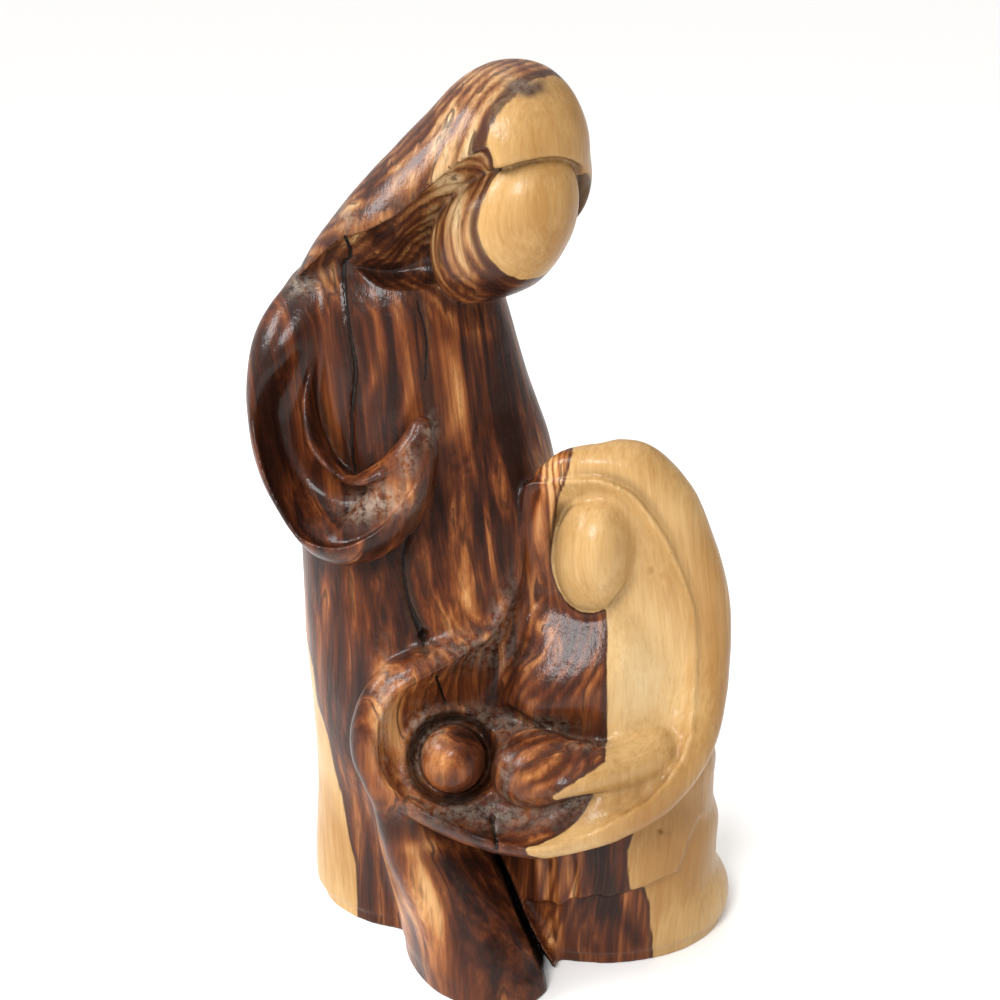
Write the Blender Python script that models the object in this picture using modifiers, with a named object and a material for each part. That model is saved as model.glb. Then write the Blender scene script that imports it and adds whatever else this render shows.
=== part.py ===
# Olive wood group of three: a standing hooded figure bows over a kneeling
# figure, whose shawl closes in a ring around a swaddled child.
# The group is one piece of wood, carved in the round, on a flat underside.
# Metres, +Z up, front of the carving towards -Y, origin at the middle of the
# underside.  The working dimensions below are millimetres and degrees.
import bpy
import bmesh
import math
import numpy as np
from mathutils import Vector

NAME = "holy_family_carving"
MM = 0.001
CENTRE_X, CENTRE_Y = -3.2, -4.3        # middle of the underside in the working drawing
SKIN = 4.0                           # waste wood left on the block-out
TRIANGLES = 7600                     # facets of the finished solid
WOOD = (0.235, 0.105, 0.042, 1.0)    # oiled olive heartwood

# ------------------------------------------------------------ front drawing
# The carving is laid out on a front drawing: a sheet of 1000 x 1000 units seen
# in perspective from slightly above.  at() gives the point of the sight line
# through (u, v) at a depth y; sheet() is the way back.
EYE = np.array([-5.0, -365.0, 281.0])
PITCH = math.radians(21.6)
FOCAL = 1440.0
AHEAD = np.array([0.0, math.cos(PITCH), -math.sin(PITCH)])
UP = np.array([0.0, math.sin(PITCH), math.cos(PITCH)])


def at(u, v, y):
    ray = AHEAD + np.array([(u - 500) / FOCAL, 0, 0]) - (v - 500) / FOCAL * UP
    return EYE + ray * ((y - EYE[1]) / ray[1])


def sheet(p):
    q = p - EYE
    d = q @ AHEAD
    return 500 + FOCAL * q[:, 0] / d, 500 - FOCAL * (q @ UP) / d, d / FOCAL


# ------------------------------------------------------------ rounded masses
# Every mass is a function of points (n, 3) that gives the distance to its
# skin in millimetres, negative inside the wood.
def smin(a, b, k):                   # two masses joined over a hollow of size k
    h = np.maximum(k - np.abs(a - b), 0.0) / k
    return np.minimum(a, b) - h * h * k * 0.25


def smax(a, b, k):                   # a mass cut by another, edge rounded by k
    return -smin(-a, -b, k)


def smooth(x, a, b):
    t = np.clip((x - a) / (b - a), 0, 1)
    return t * t * (3 - 2 * t)


def turned(rx, ry, rz):              # turn about X, then Y, then Z, in degrees
    a, b, c = np.radians([rx, ry, rz])
    X = np.array([[1, 0, 0], [0, np.cos(a), -np.sin(a)], [0, np.sin(a), np.cos(a)]])
    Y = np.array([[np.cos(b), 0, np.sin(b)], [0, 1, 0], [-np.sin(b), 0, np.cos(b)]])
    Z = np.array([[np.cos(c), -np.sin(c), 0], [np.sin(c), np.cos(c), 0], [0, 0, 1]])
    return Z @ Y @ X


def ellipsoid(p, c, r, rot=(0, 0, 0)):
    q = (p - np.asarray(c, float)) @ turned(*rot)
    r = np.asarray(r, float)
    k0 = np.sqrt(((q / r) ** 2).sum(1)) + 1e-9
    k1 = np.sqrt(((q / (r * r)) ** 2).sum(1)) + 1e-9
    return k0 * (k0 - 1) / k1


def spline(points, per=6, closed=False):     # smooth curve through rows of numbers
    P = np.asarray(points, float)
    n = len(P)
    out = []
    for i in range(n if closed else n - 1):
        if closed:
            a, b, c, d = P[(i - 1) % n], P[i], P[(i + 1) % n], P[(i + 2) % n]
        else:
            b, c = P[i], P[i + 1]
            a = P[i - 1] if i else 2 * b - c
            d = P[i + 2] if i + 2 < n else 2 * c - b
        for t in np.arange(per) / per:
            out.append(0.5 * (2 * b + (c - a) * t + (2 * a - 5 * b + 4 * c - d) * t * t + (3 * b - a - 3 * c + d) * t ** 3))
    if not closed:
        out.append(P[-1])
    return np.array(out)


def closest(q, rows, closed=False):   # nearest point of the smooth curve through rows: value and slope there
    k = q.shape[1]
    P = np.asarray(rows, float)
    n = len(P) if closed else len(P) - 1
    C = spline(P[:, :k], 2, closed)
    if closed:
        C = np.vstack([C, C[:1]])
        E = np.vstack([P[-1:], P, P[:2]])
    else:
        E = np.vstack([2 * P[0] - P[1], P, 2 * P[-1] - P[-2]])
    best, s = np.full(len(q), 1e18), np.zeros(len(q))
    for i, (a, b) in enumerate(zip(C[:-1], C[1:])):
        ab = b - a
        t = np.clip((q - a) @ ab / (ab @ ab + 1e-9), 0, 1)
        d = ((q - a - t[:, None] * ab) ** 2).sum(1)
        new = d < best
        best[new], s[new] = d[new], (i + t[new]) / 2
    for step in range(3):
        i = np.clip(s.astype(int), 0, n - 1)
        t = (s - i)[:, None]
        a, b, c, d = E[i], E[i + 1], E[i + 2], E[i + 3]
        k1, k2, k3 = c - a, 2 * a - 5 * b + 4 * c - d, 3 * b - a - 3 * c + d
        value = b + 0.5 * (k1 * t + k2 * t * t + k3 * t ** 3)
        slope = 0.5 * (k1 + 2 * k2 * t + 3 * k3 * t * t)
        if step == 2:
            return value, slope
        off = value[:, :k] - q
        bend = (k2 + 3 * k3 * t)[:, :k]
        hill = (slope[:, :k] ** 2).sum(1)
        move = (off * slope[:, :k]).sum(1) / np.maximum(hill + (off * bend).sum(1), 0.4 * hill)
        s = s - np.clip(move, -0.3, 0.3)
        s = s % n if closed else np.clip(s, 0, n)


def tube(p, rows):                   # round rod through (x, y, z, radius)
    C = np.asarray(rows, float)
    lo = (C[:, :3] - C[:, 3:4]).min(0)
    hi = (C[:, :3] + C[:, 3:4]).max(0)
    away = np.linalg.norm(np.maximum(np.maximum(lo - p, p - hi), 0), axis=1)
    close = away < 9
    out = away + 1.0
    if close.any():
        q = p[close]
        value, _ = closest(q, C)
        out[close] = np.linalg.norm(q - value[:, :3], axis=1) - value[:, 3]
    return out


def column(p, rows, top, k):         # upright mass of oval sections (z, cx, cy, half width, half depth)
    C = spline(rows, 10)
    cx, cy, a, b = (np.interp(p[:, 2], C[:, 0], C[:, i]) for i in (1, 2, 3, 4))
    x, y = p[:, 0] - cx, p[:, 1] - cy
    k0 = np.sqrt((x / a) ** 2 + (y / b) ** 2) + 1e-9
    k1 = np.sqrt((x / a ** 2) ** 2 + (y / b ** 2) ** 2) + 1e-9
    return smax(k0 * (k0 - 1) / k1, p[:, 2] - top, k)


def area2d(u, v, rows):              # signed distance on the sheet to a smooth closed outline
    pts = np.asarray(rows, float)[:, :2]
    away = np.hypot(np.maximum(np.maximum(pts[:, 0].min() - u, u - pts[:, 0].max()), 0),
                    np.maximum(np.maximum(pts[:, 1].min() - v, v - pts[:, 1].max()), 0))
    close = away < 24
    out = away + 1.0
    if close.any():
        q = np.stack([u[close], v[close]], 1)
        value, slope = closest(q, pts, closed=True)
        off = q - value
        d = np.linalg.norm(off, axis=1)
        ring = np.vstack([spline(pts, 2, True), pts[:1]])
        inside = np.zeros(len(q), bool)
        for a, b in zip(ring[:-1], ring[1:]):
            if a[1] != b[1]:
                inside ^= ((a[1] > q[:, 1]) != (b[1] > q[:, 1])) & (q[:, 0] < (b[0] - a[0]) * (q[:, 1] - a[1]) / (b[1] - a[1]) + a[0])
        turn = np.sign(((ring[:-1, 0] - ring[1:, 0]) * (ring[:-1, 1] + ring[1:, 1])).sum())
        side = slope[:, 0] * off[:, 1] - slope[:, 1] * off[:, 0] > 0
        inside = np.where(d < 5, side if turn > 0 else ~side, inside)
        out[close] = np.where(inside, -d, d)
    return out


def rows_at(rows):                   # rods given on the sheet: (u, v, depth, radius)
    return [[*at(u, v, y), r] for u, v, y, r in rows]


def depth_of(u, v, rim):             # depth of a rim (u, v, depth), carried inward
    w = s = 0
    for a, b, y in rim:
        k = 1.0 / ((u - a) ** 2 + (v - b) ** 2 + 250.0) ** 2
        w = w + k
        s = s + k * y
    return s / w


# --------------------------------------------------------- standing figure
# upright sections: height, middle x, middle y, half width, half depth
ROBE = [(-30, -20, 14.8, 40, 24.8), (0, -20, 14.8, 40, 24.8), (5, -21, 14.8, 41, 24.8), (10, -21.5, 14.6, 40.8, 25), (20, -22.2, 14, 39.8, 25.6),
        (45, -22.7, 12, 37.3, 28), (65, -23, 9, 36.8, 32), (85, -23.4, 7, 36.8, 35), (100, -23.6, 7, 36.9, 34), (118, -24, 9, 36.8, 30.5),
        (135, -24.8, 11, 36.3, 27.5), (150, -26.7, 13, 35.6, 25.5), (168, -29.7, 13.5, 32.4, 24), (188, -31.6, 14, 28.6, 21.5),
        (204, -30.5, 16, 23, 17), (216, -28, 19, 14, 11)]
HOOD_C, HOOD_R = at(515.5, 158, -4), (16.5, 18.5, 22.3)
DRAPE = rows_at([(502, 149, -2, 19.2), (456, 196, -2, 19.2), (404, 248, 0, 18.8), (360, 299, 4, 17.4), (328, 350, 10, 14)])
CREST = [(300, 275, 2), (320, 256, -2), (339, 241, -7), (369, 229, -12), (399, 214, -15), (419, 195, -16.5), (444, 173, -18), (469, 156, -20), (500, 142, -22)]
HOLLOW_HOOD = [(340, 262, -7), (364, 255, -9), (384, 249, -10), (402, 229, -13), (424, 211, -15), (449, 197, -16), (479, 174, -17), (499, 168, -18),
                      (528, 160, -20), (553, 157, -19), (573, 161, -14), (588, 170, -8), (604, 184, -3), (606, 250, 0), (560, 268, -4), (530, 300, -8),
                      (480, 306, -9), (440, 299, -11), (414, 298, -11), (385, 293, -9), (360, 281, -8)]
PANEL = [(346, 300, -8), (356, 270, -8), (385, 290, -8), (415, 296, -9), (446, 297, -10), (440, 340, -13), (434, 390, -14), (424, 414, -15),
                (404, 437, -14), (385, 459, -14), (357, 470, -14), (330, 448, -12), (320, 430, -10), (318, 404, -8), (330, 355, -8)]

# ----------------------------------------------------------- raised sleeve
ARM = rows_at([(320, 300, 9, 9.8), (292, 346, 3, 10.2), (283, 400, -2, 9.5), (291, 450, -8, 9.8), (312, 490, -14, 10.4), (342, 518, -18, 12),
               (374, 512, -22, 11), (402, 484, -24, 8.5), (416, 455, -25, 5.8), (421, 430, -24, 3.2)])
SLEEVE = [(318, 304, -6), (290, 330, -8), (271, 358, -9), (257, 378, -8.5), (252, 414, -9), (260, 452, -12), (268, 479, -15), (280, 506, -18),
                 (294, 531, -21), (318, 545, -23), (345, 546, -25), (368, 535, -27), (392, 516, -29), (412, 490, -30), (423, 462, -30),
                 (427, 440, -29), (423, 424, -26), (407, 447, -22), (389, 473, -18), (354, 486, -14), (322, 464, -10), (307, 442, -7),
                 (302, 404, -4), (308, 372, -4), (316, 335, -5)]
FOREARM = rows_at([(346, 536, -19, 3.5), (372, 514, -21.5, 4.8), (394, 488, -23.5, 5.2), (410, 460, -25, 4.6), (419, 440, -25.5, 3.2), (422, 428, -25, 2)])

# ------------------------------------- ring of the shawl round the child
HOLLOW = [
    (526, 488, -13), (524, 530, -15), (521, 572, -17), (511, 600, -19), (494, 633, -23), (473, 648, -26), (448, 666, -30), (420, 680, -34),
    (396, 694, -36), (382, 715, -38), (376, 745, -40), (381, 775, -42), (401, 797, -44), (440, 821, -47), (494, 843, -50), (540, 849, -51),
    (580, 838, -49), (612, 822, -47), (653, 797, -41), (684, 753, -34), (693, 704, -28), (696, 649, -24), (692, 605, -23), (678, 567, -23),
    (659, 529, -24), (632, 495, -24), (600, 481, -23), (571, 481, -21), (548, 484, -16)]


def lip(points):                     # rods set outward of and behind the rim: (u, v, depth, out, behind, radius)
    m = [at(545, 680, y) for _, _, y, _, _, _ in points]
    rows = []
    for (u, v, y, out, behind, r), mid in zip(points, m):
        c = at(u, v, y)
        n = (c - mid) / np.linalg.norm(c - mid)
        rows.append([*(c + n * out + np.array([0, behind, 0])), r])
    return rows


RING = lip([(549, 489, -17, 0.5, 7, 3.5), (571, 481, -21, 0.6, 8.5, 4.8), (600, 481, -23, 1, 9, 5.8), (632, 495, -24, 3.2, 10.4, 7.6), (659, 529, -24, 4.2, 10.6, 8.1),
            (678, 567, -23, 3.6, 10.6, 8.1), (692, 605, -23, 2.9, 10.6, 8.1), (696, 649, -24, 2.9, 10.6, 8.1), (693, 704, -28, 2.7, 10.4, 8.1), (684, 753, -34, 2.4, 9, 7.6),
            (653, 797, -41, 2.4, 8, 7.3), (612, 822, -47, 2, 7, 7), (580, 838, -49, 1.2, 7, 6.5), (540, 849, -51, 0.6, 7, 6), (494, 843, -50, 0.6, 7, 6),
            (440, 821, -47, 0.6, 7, 6), (401, 797, -44, 1, 7, 6), (381, 775, -42, 1.4, 7, 6), (376, 745, -40, 1.4, 6, 6), (382, 715, -38, 1.2, 6, 5.6),
            (396, 694, -36, 1, 6, 5.2), (420, 680, -34, 0.6, 5.5, 4.8), (448, 666, -30, 0.4, 5, 4.6), (473, 648, -26, 0.4, 5, 4.6),
            (494, 633, -23, 0.4, 5, 4.4), (511, 600, -19, 0, 5, 4), (521, 572, -17, 0, 5, 4), (524, 530, -14, 0, 5, 3.5), (524, 488, -9, 0, 5, 2)])
RING_BACK = lip([(600, 481, -23, -7.5, 18, 7), (632, 495, -24, -3, 19, 8.6), (659, 529, -24, -1.4, 19, 9.4), (678, 567, -23, -1, 20, 9.6), (692, 605, -23, -1.8, 21, 9.4),
                 (696, 649, -24, -1.6, 22, 9.6), (693, 704, -28, -0.6, 23, 10), (684, 753, -34, -1, 22, 9), (660, 790, -38, -4, 20, 8)])
VEIL = rows_at([(556, 486, -12, 2.5), (547, 500, -13, 3.4), (544, 530, -13, 3.6), (549, 560, -12.5, 3.6), (562, 590, -12, 3.8), (582, 614, -12, 4)])
INNER = [(470, 588), (560, 588), (620, 590), (690, 594), (740, 600), (795, 582), (824, 562), (856, 535)]
VEILED_HEAD = (at(593, 552, -16.5), (10.3, 12.5, 16.5), (8, 4, 0))
LAP_FOLD = [(480, 692), (508, 704), (525, 714), (544, 727), (568, 740), (604, 746), (650, 748), (700, 740)]

# -------------------------------------------------------- skirts and foot
SKIRT = [(-30, 25, 5, 38.5, 28.6), (0, 25, 5, 38.5, 28.6), (5, 25, 5, 40.2, 29.4), (11, 25, 5, 39.8, 29.4), (18, 25, 5, 36.2, 29), (26, 25, 5, 35.6, 28.6),
         (34, 24.5, 5, 36.2, 28.2), (41, 24, 5, 35, 28), (50, 24, 4, 34.6, 28), (58, 24, 3, 34, 28), (66, 22, 2, 31, 27), (80, 18, 0, 26, 23)]
TIER = [(-30, 22, 4, 33, 32.5), (0, 22, 4, 33, 32.5), (20, 23, 4, 34.4, 32.5), (40, 23.5, 3, 34, 31), (60, 22, 2, 29, 28), (80, 20, 0, 24, 24)]
TIER_LINE = [(480, 880), (530, 900), (548, 905), (566, 904), (576, 900), (585, 897), (597, 899), (608, 897), (620, 898), (629, 891), (647, 885),
             (677, 872), (689, 839), (700, 815), (760, 800)]
FLARE = [(-30, -11, -18, 21.5, 25.5), (0, -11, -18, 21.5, 25.5), (10, -14, -18, 20, 24.5), (25, -19.5, -16.5, 17.2, 23), (45, -27, -14, 13.5, 23),
         (65, -33, -12, 9, 23), (80, -36, -12, 7, 20)]
FLARE_EDGE = rows_at([(384, 790, -38, 4), (404, 845, -35, 4.5), (419, 869, -34, 5), (438, 896, -33, 5.5), (450, 926, -32, 5.5), (455, 960, -30, 5)])
FLARE_SCOOP = rows_at([(430, 828, -52, 8), (462, 858, -53, 10), (500, 905, -57, 13), (535, 965, -62, 16)])

# large masses that the block-out repeats: middle, half sizes, turn
BALLS = [(HOOD_C, HOOD_R, (0, 8, 0)), (at(560, 200, 2), (7, 10, 12), (0, 25, 0)), (at(503, 224, -12), (14.2, 15, 20.5), (12, 12, 0)),
         (at(478, 240, -7), (11.5, 13, 17), (12, 14, 0)), (at(627, 536, -3), (20.5, 19, 21), (0, 0, 0)), (at(638, 660, 2), (22.5, 25, 42), (0, 0, 0)),
         (at(583, 668, -14), (24, 18, 34), (0, 0, 0)), (at(520, 740, -16), (36, 22, 24), (0, 0, 0)), (at(594, 553, -12), (14, 14, 18), (0, 0, 0)),
         (at(560, 560, -4), (14, 14, 20), (0, 0, 0))]
RODS = [DRAPE, ARM, RING, RING_BACK, FLARE_EDGE]


def carve(f, u, v, mm, y, rim, deep, run, edge):
    # hollow behind a rim: falls off by deep within run of the rim
    d = area2d(u, v, rim) * mm
    near = d < 6
    if not near.any():
        return f
    level = np.zeros(len(u))
    level[near] = depth_of(u[near], v[near], spline(rim, 2, True))
    floor = level + deep * (1 - np.exp(-np.maximum(-d, 0) / run))
    return np.where(near, smax(f, -smax(d, (y - floor) * 0.7, 1.0), edge), f)


def below(u, v, line, mm):           # distance under a line of the sheet
    return (v - np.interp(u, [a[0] for a in line], [a[1] for a in line])) * mm


def field(p):
    u, v, mm = sheet(p)
    x, y, z = p.T

    # standing figure: robe, hood with its drape to the shoulder, bowed head
    robe = column(p, ROBE, 212, 8)
    robe = smin(robe, ellipsoid(p, at(494, 566, -2), (13, 13, 36)), 9)
    hood = smin(ellipsoid(p, HOOD_C, HOOD_R, (0, 8, 0)), tube(p, DRAPE), 8)
    under = below(u, v, CREST, mm)
    crest_y = np.interp(u, [c[0] for c in CREST], [c[2] for c in CREST])
    fade = smooth(u, 512, 478)
    cut = smax(-under, (y - crest_y - 0.9 * fade * np.maximum(under, 0) + 5 * (1 - fade)) * 0.75, 0.6)
    hood = smax(hood, -cut, 0.8)
    hood = smin(hood, ellipsoid(p, at(558, 196, 2), (6.5, 10, 10.5), (0, 25, 0)), 6)
    body = smin(robe, hood, 4)
    body = carve(body, u, v, mm, y, HOLLOW_HOOD, 14 - 8 * smooth(u, 550, 585), 4.0, 1.0)
    head = smin(ellipsoid(p, at(516, 219, -9.5), (14.2, 15, 20.5), (12, 24, 0)),
                ellipsoid(p, at(477, 240, -5.5), (11.5, 13, 17), (12, 14, 0)), 5)

    # kneeling figure from behind, ring of the shawl, skirts and foot
    egg = smin(ellipsoid(p, at(627, 536, -3), (20.5, 19, 21)), ellipsoid(p, at(638, 660, 2), (22.5, 25, 42)), 12)
    ring = smin(tube(p, RING), tube(p, RING_BACK), 6)
    skirt = column(p, SKIRT, 76, 12)
    tier = smax(column(p, TIER, 76, 12), below(u, v, TIER_LINE, mm) * 0.9, 0.8)
    flute = smooth(u, 525, 545) * smooth(u, 632, 618) * smooth(v, 850, 866)
    tier = tier + 1.1 * flute * (0.5 + 0.5 * np.cos((u - 548) * 0.262)) * smooth(y, 0, -12)
    flare = smin(column(np.stack([x + 0.22 * (y + 18) * smooth(z, 45, 10), y, z], 1), FLARE, 78, 10), tube(p, FLARE_EDGE), 8)
    flare = smax(flare, -tube(p, FLARE_SCOOP), 2)
    body = smin(body, skirt, 6)
    body = smin(body, tier, 1.0)
    body = smin(body, flare, 4)
    body = smin(body, egg, 4)
    body = smin(body, ring, 3)

    # hollow of the shawl, with solid wood behind it
    d = area2d(u, v, HOLLOW) * mm
    near = d < 6
    level = np.zeros(len(u))
    level[near] = depth_of(u[near], v[near], spline(HOLLOW, 2, True))
    inside = np.maximum(-d, 0)
    gap = np.hypot(u - 453, v - 759)
    right = smooth(u - np.interp(v, [a[0] for a in INNER], [a[1] for a in INNER]), -12, 26)
    deep = 6 + 4 * smooth(v, 560, 680) + 5.5 * np.exp(-((gap - 37) / 7) ** 2) - 1.6 * np.exp(-((gap - 49) / 5) ** 2) * smooth(u, 500, 470)
    deep = deep * (1 - right) + 4.8 * right
    floor = level + deep * (1 - np.exp(-inside / (6 - 2.6 * right)))
    solid = smax(smax(d - 0.3, (level - y) * 0.8, 1.5), y - 10, 2.0)
    body = smin(body, np.where(near, solid, 9.0), 2.5)
    body = smax(body, -smax(d, (y - floor) * 0.7, 1.0), 1.0)

    # inside the ring: veil, head, body and hand of the kneeling figure, child
    body = smin(body, tube(p, VEIL), 2.5)
    body = smin(body, ellipsoid(p, *VEILED_HEAD), 0.8 + 2.4 * smooth(u + (560 - v) * 0.5, 590, 630))
    torso = smin(ellipsoid(p, at(583, 672, -17), (17, 13, 25), (0, -8, 0)), ellipsoid(p, at(545, 690, -19), (11, 10, 14), (0, 30, 0)), 6)
    torso = smin(torso, ellipsoid(p, at(630, 690, -15), (12, 9, 20), (0, -5, 0)), 8)
    torso = smax(torso, (p - at(570, 676, -28.0)) @ np.array([-0.185, -0.80, 0.57]), 4)
    torso = smax(torso, below(u, v, LAP_FOLD, mm) * 0.9, 0.8)
    body = smin(body, torso, 4)
    child = smin(ellipsoid(p, at(527, 770, -37), (9.5, 9, 10)), ellipsoid(p, at(572, 764, -36), (13, 9, 8)), 8)
    child = smax(child, below(u, v, LAP_FOLD, mm) * -0.9 - 0.5, 1.0)
    child = smax(child, (p - at(545, 770, -44.5)) @ np.array([0.12, -0.86, 0.49]), 1.5)
    hand = tube(p, rows_at([(650, 752, -29, 7), (620, 764, -35, 6), (594, 774, -40.5, 4.6), (572, 783, -43.5, 3.2), (556, 792, -45, 1.8)]))
    body = smin(body, ellipsoid(p, at(453, 759, -37), (8.3, 9, 8.8)), 0.8)
    body = smin(body, child, 1.2)
    body = smin(body, hand, 2.0)

    # chest panel and the raised sleeve with its hollow front
    body = carve(body, u, v, mm, y, PANEL, 2.2 + 1.3 * smooth(v, 330, 430), 9 - 6.5 * smooth(v, 370, 440), 1.0)
    f = smin(body, tube(p, ARM), 1.2)
    f = carve(f, u, v, mm, y, SLEEVE, 0.8 + 8.7 * smooth(v, 345, 440), 7.0, 1.6)
    f = smin(f, tube(p, FOREARM), 2.5)
    f = smin(f, head, 0.8)
    return f

# ---------------------------------------------------------------- block-out
for old in list(bpy.data.objects):
    bpy.data.objects.remove(old, do_unlink=True)

wood = bpy.data.materials.new("olive_wood")
wood.use_nodes = True
shader = wood.node_tree.nodes["Principled BSDF"]
shader.inputs["Base Color"].default_value = WOOD
shader.inputs["Roughness"].default_value = 0.32
shader.inputs["Metallic"].default_value = 0.0

carving = bpy.data.collections.new("olive_wood_holy_family_carving")
bpy.context.scene.collection.children.link(carving)


def new_object(name, mesh):
    ob = bpy.data.objects.new(name, mesh)
    carving.objects.link(ob)
    return ob


def sphere_mesh(name, place, rings=28, segments=40):
    # a UV sphere whose points are carried to place(unit point)
    bm = bmesh.new()
    bmesh.ops.create_uvsphere(bm, u_segments=segments, v_segments=rings, radius=1.0)
    for vert in bm.verts:
        vert.co = Vector(place(np.array(vert.co))) * MM
    mesh = bpy.data.meshes.new(name)
    bm.to_mesh(mesh)
    bm.free()
    return new_object(name, mesh)


def ball(name, centre, radii, rot=(0, 0, 0)):
    turn = turned(*rot)
    return sphere_mesh(name, lambda p: turn @ (p * (np.array(radii) + SKIN)) + centre)


def loft(name, rows, bottom, top):
    # a sphere stretched over upright oval sections
    sections = spline(rows, 10)

    def place(p):
        side = math.hypot(p[0], p[1])
        z = bottom + (top - bottom) * (0.5 + math.asin(max(-1, min(1, p[2]))) / math.pi)
        cx, cy, a, b = (np.interp(z, sections[:, 0], sections[:, i]) for i in (1, 2, 3, 4))
        full = min(1.0, side * 3.0) / max(side, 1e-6)
        return np.array([cx + (a + SKIN) * full * p[0], cy + (b + SKIN) * full * p[1], z])
    return sphere_mesh(name, place, 44, 48)


def rod_object(name, rows):
    # a bevelled curve with its own radius at every point, turned into a mesh
    path = spline(rows, 2)
    curve = bpy.data.curves.new(name, "CURVE")
    curve.dimensions = "3D"
    curve.bevel_depth = MM
    curve.bevel_resolution = 3
    curve.use_fill_caps = True
    line = curve.splines.new("POLY")
    line.points.add(len(path) - 1)
    for point, row in zip(line.points, path):
        point.co = (row[0] * MM, row[1] * MM, row[2] * MM, 1.0)
        point.radius = row[3] + SKIN
    ob = new_object(name, curve)
    bpy.context.view_layer.update()
    mesh = bpy.data.meshes.new_from_object(ob.evaluated_get(bpy.context.evaluated_depsgraph_get()))
    bpy.data.objects.remove(ob, do_unlink=True)
    return new_object(name, mesh)


def only(ob):
    for other in bpy.context.view_layer.objects:
        other.select_set(False)
    ob.select_set(True)
    bpy.context.view_layer.objects.active = ob


def applied(ob, kind, **values):
    mod = ob.modifiers.new(kind.lower(), kind)
    for key, value in values.items():
        setattr(mod, key, value)
    bpy.context.view_layer.update()
    mesh = bpy.data.meshes.new_from_object(ob.evaluated_get(bpy.context.evaluated_depsgraph_get()))
    old = ob.data
    ob.modifiers.clear()
    ob.data = mesh
    bpy.data.meshes.remove(old)


def to_form(ob, skin, rounds, most):
    # carry every point along the slope of the form until it lies the given
    # skin outside its surface
    mesh = ob.data
    co = np.empty(len(mesh.vertices) * 3)
    mesh.vertices.foreach_get("co", co)
    p = co.reshape(-1, 3) / MM
    order = np.lexsort(tuple((p // 12).T))
    q = p[order]
    for turn in range(rounds):
        for i in range(0, len(q), 6000):
            part = q[i:i + 6000]
            value, slope = field(part) - skin, np.zeros_like(part)
            for k in ((1, -1, -1), (-1, -1, 1), (-1, 1, -1), (1, 1, 1)):
                slope += np.array(k, float) * field(part + 0.2 * np.array(k, float))[:, None]
            slope /= 0.8
            size = np.maximum(np.linalg.norm(slope, axis=1), 0.3)
            step = np.clip(value / size, -most, most)
            q[i:i + 6000] = part - slope / size[:, None] * step[:, None]
    p[order] = q
    mesh.vertices.foreach_set("co", (p * MM).ravel())
    mesh.update()


pieces = [loft("robe_block", ROBE, -8, 214), loft("skirt_block", SKIRT, -8, 74), loft("flare_block", FLARE, -8, 80)]
for i, (centre, radii, rot) in enumerate(BALLS):
    pieces.append(ball("ball_%02d" % i, np.array(centre), radii, rot))
for i, rows in enumerate(RODS):
    pieces.append(rod_object("rod_%02d" % i, rows))

only(pieces[0])
for piece in pieces:
    piece.select_set(True)
bpy.ops.object.join()
block = pieces[0]
block.name = NAME
block.data.name = NAME

# the waste wood comes off in layers, with fresh facets for each
for skin, grain in ((4.0, 3.0), (3.0, 2.6), (2.0, 2.4), (1.2, 2.2), (0.5, 2.0), (0.0, 1.8), (0.0, 1.6)):
    applied(block, "REMESH", mode="VOXEL", voxel_size=grain * MM, adaptivity=0.0)
    applied(block, "SMOOTH", factor=0.5, iterations=3)
    to_form(block, skin, 3, 1.2)
applied(block, "SMOOTH", factor=0.5, iterations=2)
applied(block, "DECIMATE", ratio=min(1.0, TRIANGLES / sum(len(f.vertices) - 2 for f in block.data.polygons)), use_collapse_triangulate=True)

# the flat underside, and the origin in its middle
bm = bmesh.new()
bm.from_mesh(block.data)
bmesh.ops.bisect_plane(bm, geom=bm.verts[:] + bm.edges[:] + bm.faces[:], dist=1e-7, plane_co=(0, 0, 0), plane_no=(0, 0, 1), clear_inner=True)
rim = [e for e in bm.edges if e.is_boundary]
bmesh.ops.holes_fill(bm, edges=rim, sides=0)
bmesh.ops.remove_doubles(bm, verts=bm.verts[:], dist=0.05 * MM)
bmesh.ops.triangulate(bm, faces=bm.faces[:])
bmesh.ops.translate(bm, verts=bm.verts[:], vec=(-CENTRE_X * MM, -CENTRE_Y * MM, 0))
bmesh.ops.recalc_face_normals(bm, faces=bm.faces[:])
bm.to_mesh(block.data)
bm.free()
block.data.materials.clear()
block.data.materials.append(wood)
block.data.shade_smooth()
block.data.set_sharp_from_angle(angle=math.radians(50))
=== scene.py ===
# Looks of the olive wood group: the same carving as a fine mesh, with its tool
# marks and cracks, pale wax in some places and a painted sheen on some rims and
# ridges, in polished olive wood with honey-coloured sapwood.  Working dimensions are millimetres, as in the solid
# model.
import bpy
import math
import numpy as np
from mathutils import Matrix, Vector


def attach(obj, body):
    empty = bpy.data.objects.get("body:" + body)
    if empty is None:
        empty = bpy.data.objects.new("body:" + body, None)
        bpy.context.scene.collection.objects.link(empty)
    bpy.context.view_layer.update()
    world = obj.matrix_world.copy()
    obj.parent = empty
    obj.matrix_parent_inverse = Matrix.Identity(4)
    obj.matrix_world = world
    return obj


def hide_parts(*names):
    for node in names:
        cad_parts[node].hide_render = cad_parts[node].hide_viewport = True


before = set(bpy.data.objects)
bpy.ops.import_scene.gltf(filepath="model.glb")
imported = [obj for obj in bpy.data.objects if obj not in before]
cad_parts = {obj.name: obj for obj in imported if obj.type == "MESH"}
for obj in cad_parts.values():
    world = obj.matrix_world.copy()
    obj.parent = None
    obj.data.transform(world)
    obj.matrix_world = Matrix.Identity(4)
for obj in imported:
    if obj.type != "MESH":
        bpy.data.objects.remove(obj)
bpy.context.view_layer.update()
MM = 0.001
CENTRE = np.array([-3.2, -4.3, 0.0])   # middle of the underside in the working drawing

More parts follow.
